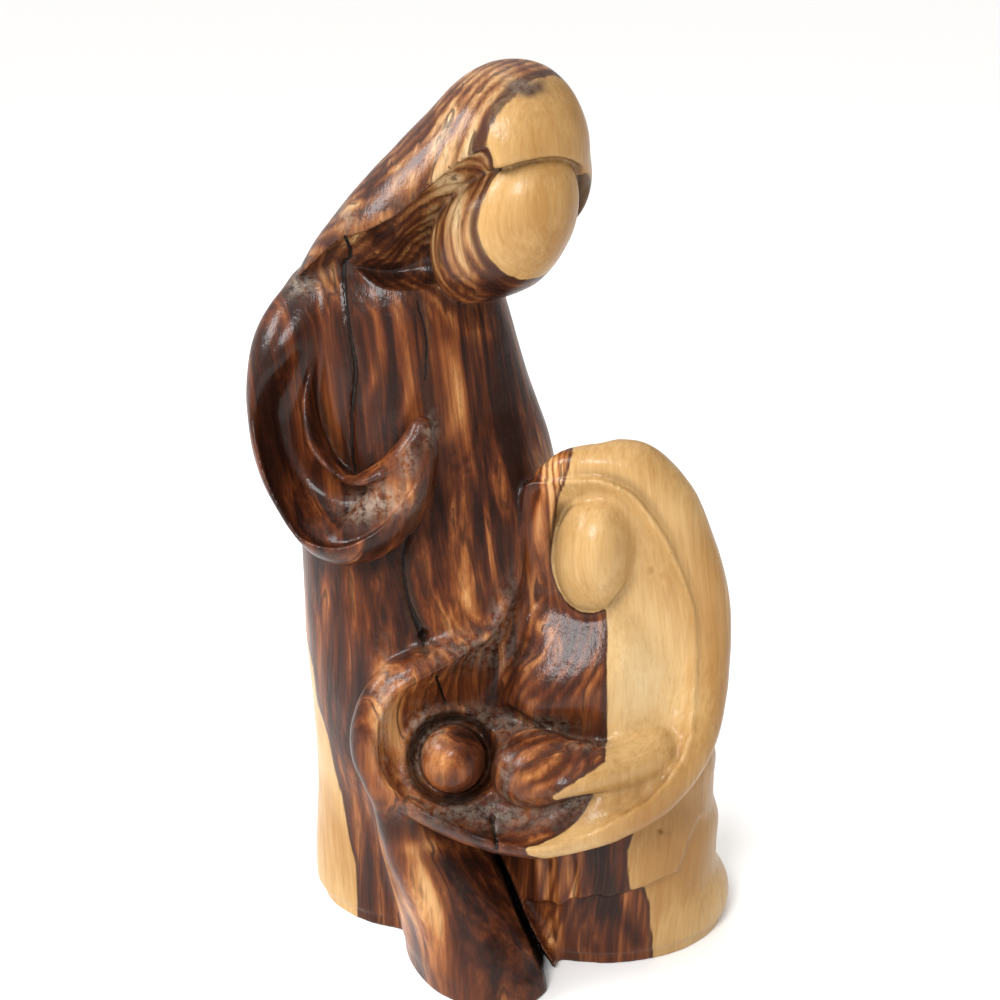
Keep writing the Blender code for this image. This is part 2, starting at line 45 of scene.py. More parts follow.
# ------------------------------------------------------------ front drawing
# The carving is laid out on a front drawing: a sheet of 1000 x 1000 units seen
# in perspective from slightly above.  at() gives the point of the sight line
# through (u, v) at a depth y; sheet() is the way back.
EYE = np.array([-5.0, -365.0, 281.0])
PITCH = math.radians(21.6)
FOCAL = 1440.0
AHEAD = np.array([0.0, math.cos(PITCH), -math.sin(PITCH)])
UP = np.array([0.0, math.sin(PITCH), math.cos(PITCH)])


def at(u, v, y):
    ray = AHEAD + np.array([(u - 500) / FOCAL, 0, 0]) - (v - 500) / FOCAL * UP
    return EYE + ray * ((y - EYE[1]) / ray[1])


def sheet(p):
    q = p - EYE
    d = q @ AHEAD
    return 500 + FOCAL * q[:, 0] / d, 500 - FOCAL * (q @ UP) / d, d / FOCAL


# ------------------------------------------------------------ rounded masses
# Every mass is a function of points (n, 3) that gives the distance to its
# skin in millimetres, negative inside the wood.
def smin(a, b, k):                   # two masses joined over a hollow of size k
    h = np.maximum(k - np.abs(a - b), 0.0) / k
    return np.minimum(a, b) - h * h * k * 0.25


def smax(a, b, k):                   # a mass cut by another, edge rounded by k
    return -smin(-a, -b, k)


def smooth(x, a, b):
    t = np.clip((x - a) / (b - a), 0, 1)
    return t * t * (3 - 2 * t)


def turned(rx, ry, rz):              # turn about X, then Y, then Z, in degrees
    a, b, c = np.radians([rx, ry, rz])
    X = np.array([[1, 0, 0], [0, np.cos(a), -np.sin(a)], [0, np.sin(a), np.cos(a)]])
    Y = np.array([[np.cos(b), 0, np.sin(b)], [0, 1, 0], [-np.sin(b), 0, np.cos(b)]])
    Z = np.array([[np.cos(c), -np.sin(c), 0], [np.sin(c), np.cos(c), 0], [0, 0, 1]])
    return Z @ Y @ X


def ellipsoid(p, c, r, rot=(0, 0, 0)):
    q = (p - np.asarray(c, float)) @ turned(*rot)
    r = np.asarray(r, float)
    k0 = np.sqrt(((q / r) ** 2).sum(1)) + 1e-9
    k1 = np.sqrt(((q / (r * r)) ** 2).sum(1)) + 1e-9
    return k0 * (k0 - 1) / k1


def spline(points, per=6, closed=False):     # smooth curve through rows of numbers
    P = np.asarray(points, float)
    n = len(P)
    out = []
    for i in range(n if closed else n - 1):
        if closed:
            a, b, c, d = P[(i - 1) % n], P[i], P[(i + 1) % n], P[(i + 2) % n]
        else:
            b, c = P[i], P[i + 1]
            a = P[i - 1] if i else 2 * b - c
            d = P[i + 2] if i + 2 < n else 2 * c - b
        for t in np.arange(per) / per:
            out.append(0.5 * (2 * b + (c - a) * t + (2 * a - 5 * b + 4 * c - d) * t * t + (3 * b - a - 3 * c + d) * t ** 3))
    if not closed:
        out.append(P[-1])
    return np.array(out)


def closest(q, rows, closed=False):   # nearest point of the smooth curve through rows: value and slope there
    k = q.shape[1]
    P = np.asarray(rows, float)
    n = len(P) if closed else len(P) - 1
    C = spline(P[:, :k], 2, closed)
    if closed:
        C = np.vstack([C, C[:1]])
        E = np.vstack([P[-1:], P, P[:2]])
    else:
        E = np.vstack([2 * P[0] - P[1], P, 2 * P[-1] - P[-2]])
    best, s = np.full(len(q), 1e18), np.zeros(len(q))
    for i, (a, b) in enumerate(zip(C[:-1], C[1:])):
        ab = b - a
        t = np.clip((q - a) @ ab / (ab @ ab + 1e-9), 0, 1)
        d = ((q - a - t[:, None] * ab) ** 2).sum(1)
        new = d < best
        best[new], s[new] = d[new], (i + t[new]) / 2
    for step in range(3):
        i = np.clip(s.astype(int), 0, n - 1)
        t = (s - i)[:, None]
        a, b, c, d = E[i], E[i + 1], E[i + 2], E[i + 3]
        k1, k2, k3 = c - a, 2 * a - 5 * b + 4 * c - d, 3 * b - a - 3 * c + d
        value = b + 0.5 * (k1 * t + k2 * t * t + k3 * t ** 3)
        slope = 0.5 * (k1 + 2 * k2 * t + 3 * k3 * t * t)
        if step == 2:
            return value, slope
        off = value[:, :k] - q
        bend = (k2 + 3 * k3 * t)[:, :k]
        hill = (slope[:, :k] ** 2).sum(1)
        move = (off * slope[:, :k]).sum(1) / np.maximum(hill + (off * bend).sum(1), 0.4 * hill)
        s = s - np.clip(move, -0.3, 0.3)
        s = s % n if closed else np.clip(s, 0, n)


def tube(p, rows):                   # round rod through (x, y, z, radius)
    C = np.asarray(rows, float)
    lo = (C[:, :3] - C[:, 3:4]).min(0)
    hi = (C[:, :3] + C[:, 3:4]).max(0)
    away = np.linalg.norm(np.maximum(np.maximum(lo - p, p - hi), 0), axis=1)
    close = away < 9
    out = away + 1.0
    if close.any():
        q = p[close]
        value, _ = closest(q, C)
        out[close] = np.linalg.norm(q - value[:, :3], axis=1) - value[:, 3]
    return out


def column(p, rows, top, k):         # upright mass of oval sections (z, cx, cy, half width, half depth)
    C = spline(rows, 10)
    cx, cy, a, b = (np.interp(p[:, 2], C[:, 0], C[:, i]) for i in (1, 2, 3, 4))
    x, y = p[:, 0] - cx, p[:, 1] - cy
    k0 = np.sqrt((x / a) ** 2 + (y / b) ** 2) + 1e-9
    k1 = np.sqrt((x / a ** 2) ** 2 + (y / b ** 2) ** 2) + 1e-9
    return smax(k0 * (k0 - 1) / k1, p[:, 2] - top, k)


def area2d(u, v, rows):              # signed distance on the sheet to a smooth closed outline
    pts = np.asarray(rows, float)[:, :2]
    away = np.hypot(np.maximum(np.maximum(pts[:, 0].min() - u, u - pts[:, 0].max()), 0),
                    np.maximum(np.maximum(pts[:, 1].min() - v, v - pts[:, 1].max()), 0))
    close = away < 24
    out = away + 1.0
    if close.any():
        q = np.stack([u[close], v[close]], 1)
        value, slope = closest(q, pts, closed=True)
        off = q - value
        d = np.linalg.norm(off, axis=1)
        ring = np.vstack([spline(pts, 2, True), pts[:1]])
        inside = np.zeros(len(q), bool)
        for a, b in zip(ring[:-1], ring[1:]):
            if a[1] != b[1]:
                inside ^= ((a[1] > q[:, 1]) != (b[1] > q[:, 1])) & (q[:, 0] < (b[0] - a[0]) * (q[:, 1] - a[1]) / (b[1] - a[1]) + a[0])
        turn = np.sign(((ring[:-1, 0] - ring[1:, 0]) * (ring[:-1, 1] + ring[1:, 1])).sum())
        side = slope[:, 0] * off[:, 1] - slope[:, 1] * off[:, 0] > 0
        inside = np.where(d < 5, side if turn > 0 else ~side, inside)
        out[close] = np.where(inside, -d, d)
    return out


def rows_at(rows):                   # rods given on the sheet: (u, v, depth, radius)
    return [[*at(u, v, y), r] for u, v, y, r in rows]


def depth_of(u, v, rim):             # depth of a rim (u, v, depth), carried inward
    w = s = 0
    for a, b, y in rim:
        k = 1.0 / ((u - a) ** 2 + (v - b) ** 2 + 250.0) ** 2
        w = w + k
        s = s + k * y
    return s / w


# --------------------------------------------------------- standing figure
# upright sections: height, middle x, middle y, half width, half depth
ROBE = [(-30, -20, 14.8, 40, 24.8), (0, -20, 14.8, 40, 24.8), (5, -21, 14.8, 41, 24.8), (10, -21.5, 14.6, 40.8, 25), (20, -22.2, 14, 39.8, 25.6),
        (45, -22.7, 12, 37.3, 28), (65, -23, 9, 36.8, 32), (85, -23.4, 7, 36.8, 35), (100, -23.6, 7, 36.9, 34), (118, -24, 9, 36.8, 30.5),
        (135, -24.8, 11, 36.3, 27.5), (150, -26.7, 13, 35.6, 25.5), (168, -29.7, 13.5, 32.4, 24), (188, -31.6, 14, 28.6, 21.5),
        (204, -30.5, 16, 23, 17), (216, -28, 19, 14, 11)]
HOOD_C, HOOD_R = at(515.5, 158, -4), (16.5, 18.5, 22.3)
DRAPE = rows_at([(502, 149, -2, 19.2), (456, 196, -2, 19.2), (404, 248, 0, 18.8), (360, 299, 4, 17.4), (328, 350, 10, 14)])
CREST = [(300, 275, 2), (320, 256, -2), (339, 241, -7), (369, 229, -12), (399, 214, -15), (419, 195, -16.5), (444, 173, -18), (469, 156, -20), (500, 142, -22)]
HOLLOW_HOOD = [(340, 262, -7), (364, 255, -9), (384, 249, -10), (402, 229, -13), (424, 211, -15), (449, 197, -16), (479, 174, -17), (499, 168, -18),
                      (528, 160, -20), (553, 157, -19), (573, 161, -14), (588, 170, -8), (604, 184, -3), (606, 250, 0), (560, 268, -4), (530, 300, -8),
                      (480, 306, -9), (440, 299, -11), (414, 298, -11), (385, 293, -9), (360, 281, -8)]
PANEL = [(346, 300, -8), (356, 270, -8), (385, 290, -8), (415, 296, -9), (446, 297, -10), (440, 340, -13), (434, 390, -14), (424, 414, -15),
                (404, 437, -14), (385, 459, -14), (357, 470, -14), (330, 448, -12), (320, 430, -10), (318, 404, -8), (330, 355, -8)]

# ----------------------------------------------------------- raised sleeve
ARM = rows_at([(320, 300, 9, 9.8), (292, 346, 3, 10.2), (283, 400, -2, 9.5), (291, 450, -8, 9.8), (312, 490, -14, 10.4), (342, 518, -18, 12),
               (374, 512, -22, 11), (402, 484, -24, 8.5), (416, 455, -25, 5.8), (421, 430, -24, 3.2)])
SLEEVE = [(318, 304, -6), (290, 330, -8), (271, 358, -9), (257, 378, -8.5), (252, 414, -9), (260, 452, -12), (268, 479, -15), (280, 506, -18),
                 (294, 531, -21), (318, 545, -23), (345, 546, -25), (368, 535, -27), (392, 516, -29), (412, 490, -30), (423, 462, -30),
                 (427, 440, -29), (423, 424, -26), (407, 447, -22), (389, 473, -18), (354, 486, -14), (322, 464, -10), (307, 442, -7),
                 (302, 404, -4), (308, 372, -4), (316, 335, -5)]
FOREARM = rows_at([(346, 536, -19, 3.5), (372, 514, -21.5, 4.8), (394, 488, -23.5, 5.2), (410, 460, -25, 4.6), (419, 440, -25.5, 3.2), (422, 428, -25, 2)])

# ------------------------------------- ring of the shawl round the child
HOLLOW = [
    (526, 488, -13), (524, 530, -15), (521, 572, -17), (511, 600, -19), (494, 633, -23), (473, 648, -26), (448, 666, -30), (420, 680, -34),
    (396, 694, -36), (382, 715, -38), (376, 745, -40), (381, 775, -42), (401, 797, -44), (440, 821, -47), (494, 843, -50), (540, 849, -51),
    (580, 838, -49), (612, 822, -47), (653, 797, -41), (684, 753, -34), (693, 704, -28), (696, 649, -24), (692, 605, -23), (678, 567, -23),
    (659, 529, -24), (632, 495, -24), (600, 481, -23), (571, 481, -21), (548, 484, -16)]


def lip(points):                     # rods set outward of and behind the rim: (u, v, depth, out, behind, radius)
    m = [at(545, 680, y) for _, _, y, _, _, _ in points]
    rows = []
    for (u, v, y, out, behind, r), mid in zip(points, m):
        c = at(u, v, y)
        n = (c - mid) / np.linalg.norm(c - mid)
        rows.append([*(c + n * out + np.array([0, behind, 0])), r])
    return rows


RING = lip([(549, 489, -17, 0.5, 7, 3.5), (571, 481, -21, 0.6, 8.5, 4.8), (600, 481, -23, 1, 9, 5.8), (632, 495, -24, 3.2, 10.4, 7.6), (659, 529, -24, 4.2, 10.6, 8.1),
            (678, 567, -23, 3.6, 10.6, 8.1), (692, 605, -23, 2.9, 10.6, 8.1), (696, 649, -24, 2.9, 10.6, 8.1), (693, 704, -28, 2.7, 10.4, 8.1), (684, 753, -34, 2.4, 9, 7.6),
            (653, 797, -41, 2.4, 8, 7.3), (612, 822, -47, 2, 7, 7), (580, 838, -49, 1.2, 7, 6.5), (540, 849, -51, 0.6, 7, 6), (494, 843, -50, 0.6, 7, 6),
            (440, 821, -47, 0.6, 7, 6), (401, 797, -44, 1, 7, 6), (381, 775, -42, 1.4, 7, 6), (376, 745, -40, 1.4, 6, 6), (382, 715, -38, 1.2, 6, 5.6),
            (396, 694, -36, 1, 6, 5.2), (420, 680, -34, 0.6, 5.5, 4.8), (448, 666, -30, 0.4, 5, 4.6), (473, 648, -26, 0.4, 5, 4.6),
            (494, 633, -23, 0.4, 5, 4.4), (511, 600, -19, 0, 5, 4), (521, 572, -17, 0, 5, 4), (524, 530, -14, 0, 5, 3.5), (524, 488, -9, 0, 5, 2)])
RING_BACK = lip([(600, 481, -23, -7.5, 18, 7), (632, 495, -24, -3, 19, 8.6), (659, 529, -24, -1.4, 19, 9.4), (678, 567, -23, -1, 20, 9.6), (692, 605, -23, -1.8, 21, 9.4),
                 (696, 649, -24, -1.6, 22, 9.6), (693, 704, -28, -0.6, 23, 10), (684, 753, -34, -1, 22, 9), (660, 790, -38, -4, 20, 8)])
VEIL = rows_at([(556, 486, -12, 2.5), (547, 500, -13, 3.4), (544, 530, -13, 3.6), (549, 560, -12.5, 3.6), (562, 590, -12, 3.8), (582, 614, -12, 4)])
INNER = [(470, 588), (560, 588), (620, 590), (690, 594), (740, 600), (795, 582), (824, 562), (856, 535)]
VEILED_HEAD = (at(593, 552, -16.5), (10.3, 12.5, 16.5), (8, 4, 0))
LAP_FOLD = [(480, 692), (508, 704), (525, 714), (544, 727), (568, 740), (604, 746), (650, 748), (700, 740)]

# -------------------------------------------------------- skirts and foot
SKIRT = [(-30, 25, 5, 38.5, 28.6), (0, 25, 5, 38.5, 28.6), (5, 25, 5, 40.2, 29.4), (11, 25, 5, 39.8, 29.4), (18, 25, 5, 36.2, 29), (26, 25, 5, 35.6, 28.6),
         (34, 24.5, 5, 36.2, 28.2), (41, 24, 5, 35, 28), (50, 24, 4, 34.6, 28), (58, 24, 3, 34, 28), (66, 22, 2, 31, 27), (80, 18, 0, 26, 23)]
TIER = [(-30, 22, 4, 33, 32.5), (0, 22, 4, 33, 32.5), (20, 23, 4, 34.4, 32.5), (40, 23.5, 3, 34, 31), (60, 22, 2, 29, 28), (80, 20, 0, 24, 24)]
TIER_LINE = [(480, 880), (530, 900), (548, 905), (566, 904), (576, 900), (585, 897), (597, 899), (608, 897), (620, 898), (629, 891), (647, 885),
             (677, 872), (689, 839), (700, 815), (760, 800)]
FLARE = [(-30, -11, -18, 21.5, 25.5), (0, -11, -18, 21.5, 25.5), (10, -14, -18, 20, 24.5), (25, -19.5, -16.5, 17.2, 23), (45, -27, -14, 13.5, 23),
         (65, -33, -12, 9, 23), (80, -36, -12, 7, 20)]
FLARE_EDGE = rows_at([(384, 790, -38, 4), (404, 845, -35, 4.5), (419, 869, -34, 5), (438, 896, -33, 5.5), (450, 926, -32, 5.5), (455, 960, -30, 5)])
FLARE_SCOOP = rows_at([(430, 828, -52, 8), (462, 858, -53, 10), (500, 905, -57, 13), (535, 965, -62, 16)])

def carve(f, u, v, mm, y, rim, deep, run, edge):
    # hollow behind a rim: falls off by deep within run of the rim
    d = area2d(u, v, rim) * mm
    near = d < 6
    if not near.any():
        return f
    level = np.zeros(len(u))
    level[near] = depth_of(u[near], v[near], spline(rim, 2, True))
    floor = level + deep * (1 - np.exp(-np.maximum(-d, 0) / run))
    return np.where(near, smax(f, -smax(d, (y - floor) * 0.7, 1.0), edge), f)


def below(u, v, line, mm):           # distance under a line of the sheet
    return (v - np.interp(u, [a[0] for a in line], [a[1] for a in line])) * mm


def field(p):
    u, v, mm = sheet(p)
    x, y, z = p.T

    # standing figure: robe, hood with its drape to the shoulder, bowed head
    robe = column(p, ROBE, 212, 8)
    robe = smin(robe, ellipsoid(p, at(494, 566, -2), (13, 13, 36)), 9)
    hood = smin(ellipsoid(p, HOOD_C, HOOD_R, (0, 8, 0)), tube(p, DRAPE), 8)
    under = below(u, v, CREST, mm)
    crest_y = np.interp(u, [c[0] for c in CREST], [c[2] for c in CREST])
    fade = smooth(u, 512, 478)
    cut = smax(-under, (y - crest_y - 0.9 * fade * np.maximum(under, 0) + 5 * (1 - fade)) * 0.75, 0.6)
    hood = smax(hood, -cut, 0.8)
    hood = smin(hood, ellipsoid(p, at(558, 196, 2), (6.5, 10, 10.5), (0, 25, 0)), 6)
    body = smin(robe, hood, 4)
    body = carve(body, u, v, mm, y, HOLLOW_HOOD, 14 - 8 * smooth(u, 550, 585), 4.0, 1.0)
    head = smin(ellipsoid(p, at(516, 219, -9.5), (14.2, 15, 20.5), (12, 24, 0)),
                ellipsoid(p, at(477, 240, -5.5), (11.5, 13, 17), (12, 14, 0)), 5)

    # kneeling figure from behind, ring of the shawl, skirts and foot
    egg = smin(ellipsoid(p, at(627, 536, -3), (20.5, 19, 21)), ellipsoid(p, at(638, 660, 2), (22.5, 25, 42)), 12)
    ring = smin(tube(p, RING), tube(p, RING_BACK), 6)
    skirt = column(p, SKIRT, 76, 12)
    tier = smax(column(p, TIER, 76, 12), below(u, v, TIER_LINE, mm) * 0.9, 0.8)
    flute = smooth(u, 525, 545) * smooth(u, 632, 618) * smooth(v, 850, 866)
    tier = tier + 1.1 * flute * (0.5 + 0.5 * np.cos((u - 548) * 0.262)) * smooth(y, 0, -12)
    flare = smin(column(np.stack([x + 0.22 * (y + 18) * smooth(z, 45, 10), y, z], 1), FLARE, 78, 10), tube(p, FLARE_EDGE), 8)
    flare = smax(flare, -tube(p, FLARE_SCOOP), 2)
    body = smin(body, skirt, 6)
    body = smin(body, tier, 1.0)
    body = smin(body, flare, 4)
    body = smin(body, egg, 4)
    body = smin(body, ring, 3)

    # hollow of the shawl, with solid wood behind it
    d = area2d(u, v, HOLLOW) * mm
    near = d < 6
    level = np.zeros(len(u))
    level[near] = depth_of(u[near], v[near], spline(HOLLOW, 2, True))
    inside = np.maximum(-d, 0)
    gap = np.hypot(u - 453, v - 759)
    right = smooth(u - np.interp(v, [a[0] for a in INNER], [a[1] for a in INNER]), -12, 26)
    deep = 6 + 4 * smooth(v, 560, 680) + 5.5 * np.exp(-((gap - 37) / 7) ** 2) - 1.6 * np.exp(-((gap - 49) / 5) ** 2) * smooth(u, 500, 470)
    deep = deep * (1 - right) + 4.8 * right
    floor = level + deep * (1 - np.exp(-inside / (6 - 2.6 * right)))
    solid = smax(smax(d - 0.3, (level - y) * 0.8, 1.5), y - 10, 2.0)
    body = smin(body, np.where(near, solid, 9.0), 2.5)
    body = smax(body, -smax(d, (y - floor) * 0.7, 1.0), 1.0)

    # inside the ring: veil, head, body and hand of the kneeling figure, child
    body = smin(body, tube(p, VEIL), 2.5)
    body = smin(body, ellipsoid(p, *VEILED_HEAD), 0.8 + 2.4 * smooth(u + (560 - v) * 0.5, 590, 630))
    torso = smin(ellipsoid(p, at(583, 672, -17), (17, 13, 25), (0, -8, 0)), ellipsoid(p, at(545, 690, -19), (11, 10, 14), (0, 30, 0)), 6)
    torso = smin(torso, ellipsoid(p, at(630, 690, -15), (12, 9, 20), (0, -5, 0)), 8)
    torso = smax(torso, (p - at(570, 676, -28.0)) @ np.array([-0.185, -0.80, 0.57]), 4)
    torso = smax(torso, below(u, v, LAP_FOLD, mm) * 0.9, 0.8)
    body = smin(body, torso, 4)
    child = smin(ellipsoid(p, at(527, 770, -37), (9.5, 9, 10)), ellipsoid(p, at(572, 764, -36), (13, 9, 8)), 8)
    child = smax(child, below(u, v, LAP_FOLD, mm) * -0.9 - 0.5, 1.0)
    child = smax(child, (p - at(545, 770, -44.5)) @ np.array([0.12, -0.86, 0.49]), 1.5)
    hand = tube(p, rows_at([(650, 752, -29, 7), (620, 764, -35, 6), (594, 774, -40.5, 4.6), (572, 783, -43.5, 3.2), (556, 792, -45, 1.8)]))
    body = smin(body, ellipsoid(p, at(453, 759, -37), (8.3, 9, 8.8)), 0.8)
    body = smin(body, child, 1.2)
    body = smin(body, hand, 2.0)

    # chest panel and the raised sleeve with its hollow front
    body = carve(body, u, v, mm, y, PANEL, 2.2 + 1.3 * smooth(v, 330, 430), 9 - 6.5 * smooth(v, 370, 440), 1.0)
    f = smin(body, tube(p, ARM), 1.2)
    f = carve(f, u, v, mm, y, SLEEVE, 0.8 + 8.7 * smooth(v, 345, 440), 7.0, 1.6)
    f = smin(f, tube(p, FOREARM), 2.5)
    f = smin(f, head, 0.8)
    return f


# --------------------------------------------------------- fine relief
rng = np.random.default_rng(11)
LATTICE = rng.uniform(-1, 1, (32, 32, 32))


def noise(q):                        # smooth repeating noise of unit cells, -1 to 1
    i = np.floor(q).astype(int)
    t = q - i
    t = t * t * (3 - 2 * t)
    i, j = i % 32, (i + 1) % 32
    out = 0
    for a in (0, 1):
        for b in (0, 1):
            for c in (0, 1):
                w = (t[:, 0] if a else 1 - t[:, 0]) * (t[:, 1] if b else 1 - t[:, 1]) * (t[:, 2] if c else 1 - t[:, 2])
                out = out + w * LATTICE[(j if a else i)[:, 0], (j if b else i)[:, 1], (j if c else i)[:, 2]]
    return out


# cracks on the sheet: (u, v, half width in mm), and how deep they go
CRACKS = [
    ([(345, 236, 0.35), (351, 254, 0.45), (344, 266, 0.5), (346, 300, 0.42), (351, 340, 0.32), (356, 370, 0.45), (353, 400, 0.35), (352, 440, 0.42), (355, 474, 0.25)], 0.6),
    ([(417, 300, 0.2), (427, 340, 0.25), (425, 380, 0.2)], 0.3),
    ([(408, 535, 0.2), (403, 560, 0.35), (406, 590, 0.35), (413, 612, 0.5), (421, 632, 0.9), (424, 645, 0.3)], 0.7),
    ([(436, 676, 0.35), (441, 690, 0.35), (446, 705, 0.25)], 0.6),
    ([(492, 818, 0.2), (495, 835, 0.35), (497, 848, 0.45)], 0.7),
    ([(497, 856, 0.6), (508, 880, 1.0), (520, 912, 1.2), (535, 945, 1.4), (549, 972, 1.9), (556, 1000, 2.2)], 9.0),
]
PITS = [(424, 635, 1.5, 3.0), (660, 830, 0.8, 1.0), (650, 571, 0.9, 0.6), (662, 577, 0.8, 0.5)]


def crack_depth(u, v, mm):
    deep = np.zeros(len(u))
    for rows, depth in CRACKS:
        rows = np.array(rows, float)
        away = np.hypot(np.maximum(np.maximum(rows[:, 0].min() - u, u - rows[:, 0].max()), 0), np.maximum(np.maximum(rows[:, 1].min() - v, v - rows[:, 1].max()), 0))
        near = away < 16
        if not near.any():
            continue
        C = spline(rows, 3)
        uu, vv, m = u[near], v[near], mm[near]
        best = np.full(len(uu), -9.0)
        for a, b in zip(C[:-1], C[1:]):
            ab = b[:2] - a[:2]
            t = np.clip(((uu - a[0]) * ab[0] + (vv - a[1]) * ab[1]) / (ab @ ab + 1e-9), 0, 1)
            d = np.hypot(uu - a[0] - t * ab[0], vv - a[1] - t * ab[1]) * m
            best = np.maximum(best, 1 - d / np.maximum(a[2] + t * (b[2] - a[2]), 0.95))
        deep[near] = np.maximum(deep[near], depth * np.clip(best, 0, 1) ** 0.7)
    for a, b, r, depth in PITS:
        d = np.hypot(u - a, v - b) * mm
        deep = np.maximum(deep, depth * np.clip(1.3 - d / r, 0, 1))
    return deep


def carved(p):
    # the finished surface: the form with cracks, soft knife facets and a flat foot
    f = field(p)
    near = np.abs(f) < 3.5
    q = p[near]
    if len(q):
        u, v, mm = sheet(q)
        front = smooth(q[:, 1], 12, 4)
        add = crack_depth(u, v, mm) * front
        add += 0.22 * noise(q / np.array([9.0, 9.0, 16.0])) + 0.10 * noise(q / np.array([3.6, 3.6, 8.0]) + 7)
        rough = np.exp(-((u - 470) / 70) ** 2 - ((v - 755) / 60) ** 2) + 0.8 * np.exp(-((u - 395) / 40) ** 2 - ((v - 500) / 26) ** 2)
        add += 0.55 * rough * front * noise(q / np.array([5.5, 5.5, 5.0]) + 3)
        f[near] += add
    return smax(f, -p[:, 2], 0.8)

# ------------------------------------------------------------ fine mesh
LOW, HIGH = np.array([-77.0, -58.0, -1.6]), np.array([72.0, 45.0, 254.0])


def in_parts(function, p, size=6000):
    return np.concatenate([function(p[i:i + size]) for i in range(0, len(p), size)]) if len(p) else np.zeros(0)


def skin_of(function, h):
    # a net of quads where the function changes sign, on a grid of step h that
    # is only worked out close to the surface
    n = np.ceil((HIGH - LOW) / (4 * h)).astype(int)
    axes = [LOW[i] + 4 * h * np.arange(n[i] + 1) for i in range(3)]
    X, Y, Z = np.meshgrid(*axes, indexing="ij")
    coarse = in_parts(function, np.stack([X.ravel(), Y.ravel(), Z.ravel()], 1)).reshape(n + 1)
    corners = np.stack([coarse[a:n[0] + a, b:n[1] + b, c:n[2] + c] for a in (0, 1) for b in (0, 1) for c in (0, 1)])
    live = np.abs(corners).min(0) < 4 * h * 1.05
    sign = np.repeat(np.repeat(np.repeat(corners[0], 4, 0), 4, 1), 4, 2).astype(np.float32)
    grid = np.full(4 * n + 1, 9.0, np.float32)
    grid[:-1, :-1, :-1] = sign
    fine = np.zeros(4 * n + 1, bool)
    block = np.repeat(np.repeat(np.repeat(live, 4, 0), 4, 1), 4, 2)
    for a in (0, 1):
        for b in (0, 1):
            for c in (0, 1):
                fine[a:4 * n[0] + a, b:4 * n[1] + b, c:4 * n[2] + c] |= block
    ijk = np.argwhere(fine)
    grid[fine] = in_parts(function, LOW + h * ijk)
    neg = grid < 0
    m = 4 * n
    count = np.zeros(m, np.int8)
    for a in (0, 1):
        for b in (0, 1):
            for c in (0, 1):
                count += neg[a:m[0] + a, b:m[1] + b, c:m[2] + c]
    mixed = (count > 0) & (count < 8)
    cell = np.argwhere(mixed)
    number = np.full(m, -1, np.int32)
    number[mixed] = np.arange(len(cell))
    value = np.stack([grid[cell[:, 0] + a, cell[:, 1] + b, cell[:, 2] + c] for a in (0, 1) for b in (0, 1) for c in (0, 1)], 1).astype(float)
    place = np.array([(a, b, c) for a in (0, 1) for b in (0, 1) for c in (0, 1)], float)
    total, hits = np.zeros((len(cell), 3)), np.zeros(len(cell))
    for a in range(8):
        for b in range(a + 1, 8):
            if abs(place[a] - place[b]).sum() != 1:
                continue
            cross = (value[:, a] < 0) != (value[:, b] < 0)
            t = np.where(cross, value[:, a] / np.where(cross, value[:, a] - value[:, b], 1), 0)
            total += cross[:, None] * (place[a] + t[:, None] * (place[b] - place[a]))
            hits += cross
    points = LOW + h * (cell + total / hits[:, None])
    quads = []
    for axis in range(3):
        step = np.zeros(3, int)
        step[axis] = 1
        o, w = (axis + 1) % 3, (axis + 2) % 3
        size = 4 * n + 1
        first = neg[:size[0] - step[0], :size[1] - step[1], :size[2] - step[2]]
        second = neg[step[0]:, step[1]:, step[2]:]
        for out in (True, False):
            edge = np.argwhere(first & ~second if out else ~first & second)
            edge = edge[(edge[:, o] > 0) & (edge[:, w] > 0) & (edge[:, o] < m[o]) & (edge[:, w] < m[w])]
            ring = []
            for do, dw in ((0, 0), (1, 0), (1, 1), (0, 1)):
                e = edge.copy()
                e[:, o] -= do
                e[:, w] -= dw
                ring.append(number[e[:, 0], e[:, 1], e[:, 2]])
            ring = np.stack(ring if out else ring[::-1], 1)
            quads.append(ring[(ring >= 0).all(1)])
    return points, np.concatenate(quads)


def slope_of(function, p, e=0.15):
    slope = np.zeros_like(p)
    for k in ((1, -1, -1), (-1, -1, 1), (-1, 1, -1), (1, 1, 1)):
        slope += np.array(k, float) * in_parts(function, p + e * np.array(k, float))[:, None]
    return slope / (4 * e)


def facing(p, quads):
    side = np.cross(p[quads[:, 2]] - p[quads[:, 0]], p[quads[:, 3]] - p[quads[:, 1]])
    normal = np.zeros_like(p)
    for k in range(4):
        for i in range(3):
            normal[:, i] += np.bincount(quads[:, k], side[:, i], len(p))
    return normal / (np.linalg.norm(normal, axis=1)[:, None] + 1e-9)


def relaxed(function, p, quads, rounds):
    # points drift along the surface towards the middle of their neighbours,
    # then go back to the skin
    edges = np.concatenate([quads[:, [0, 1]], quads[:, [1, 2]], quads[:, [2, 3]], quads[:, [3, 0]]])
    for turn in range(rounds):
        total, count = np.zeros_like(p), np.zeros(len(p))
        for a, b in ((0, 1), (1, 0)):
            for i in range(3):
                total[:, i] += np.bincount(edges[:, a], p[edges[:, b], i], len(p))
            count += np.bincount(edges[:, a], minlength=len(p))
        move = total / np.maximum(count, 1)[:, None] - p
        normal = facing(p, quads)
        p = p + 0.6 * (move - normal * (move * normal).sum(1)[:, None])
        p = p - facing(p, quads) * np.clip(in_parts(function, p), -0.35, 0.35)[:, None] * 0.9
    return p


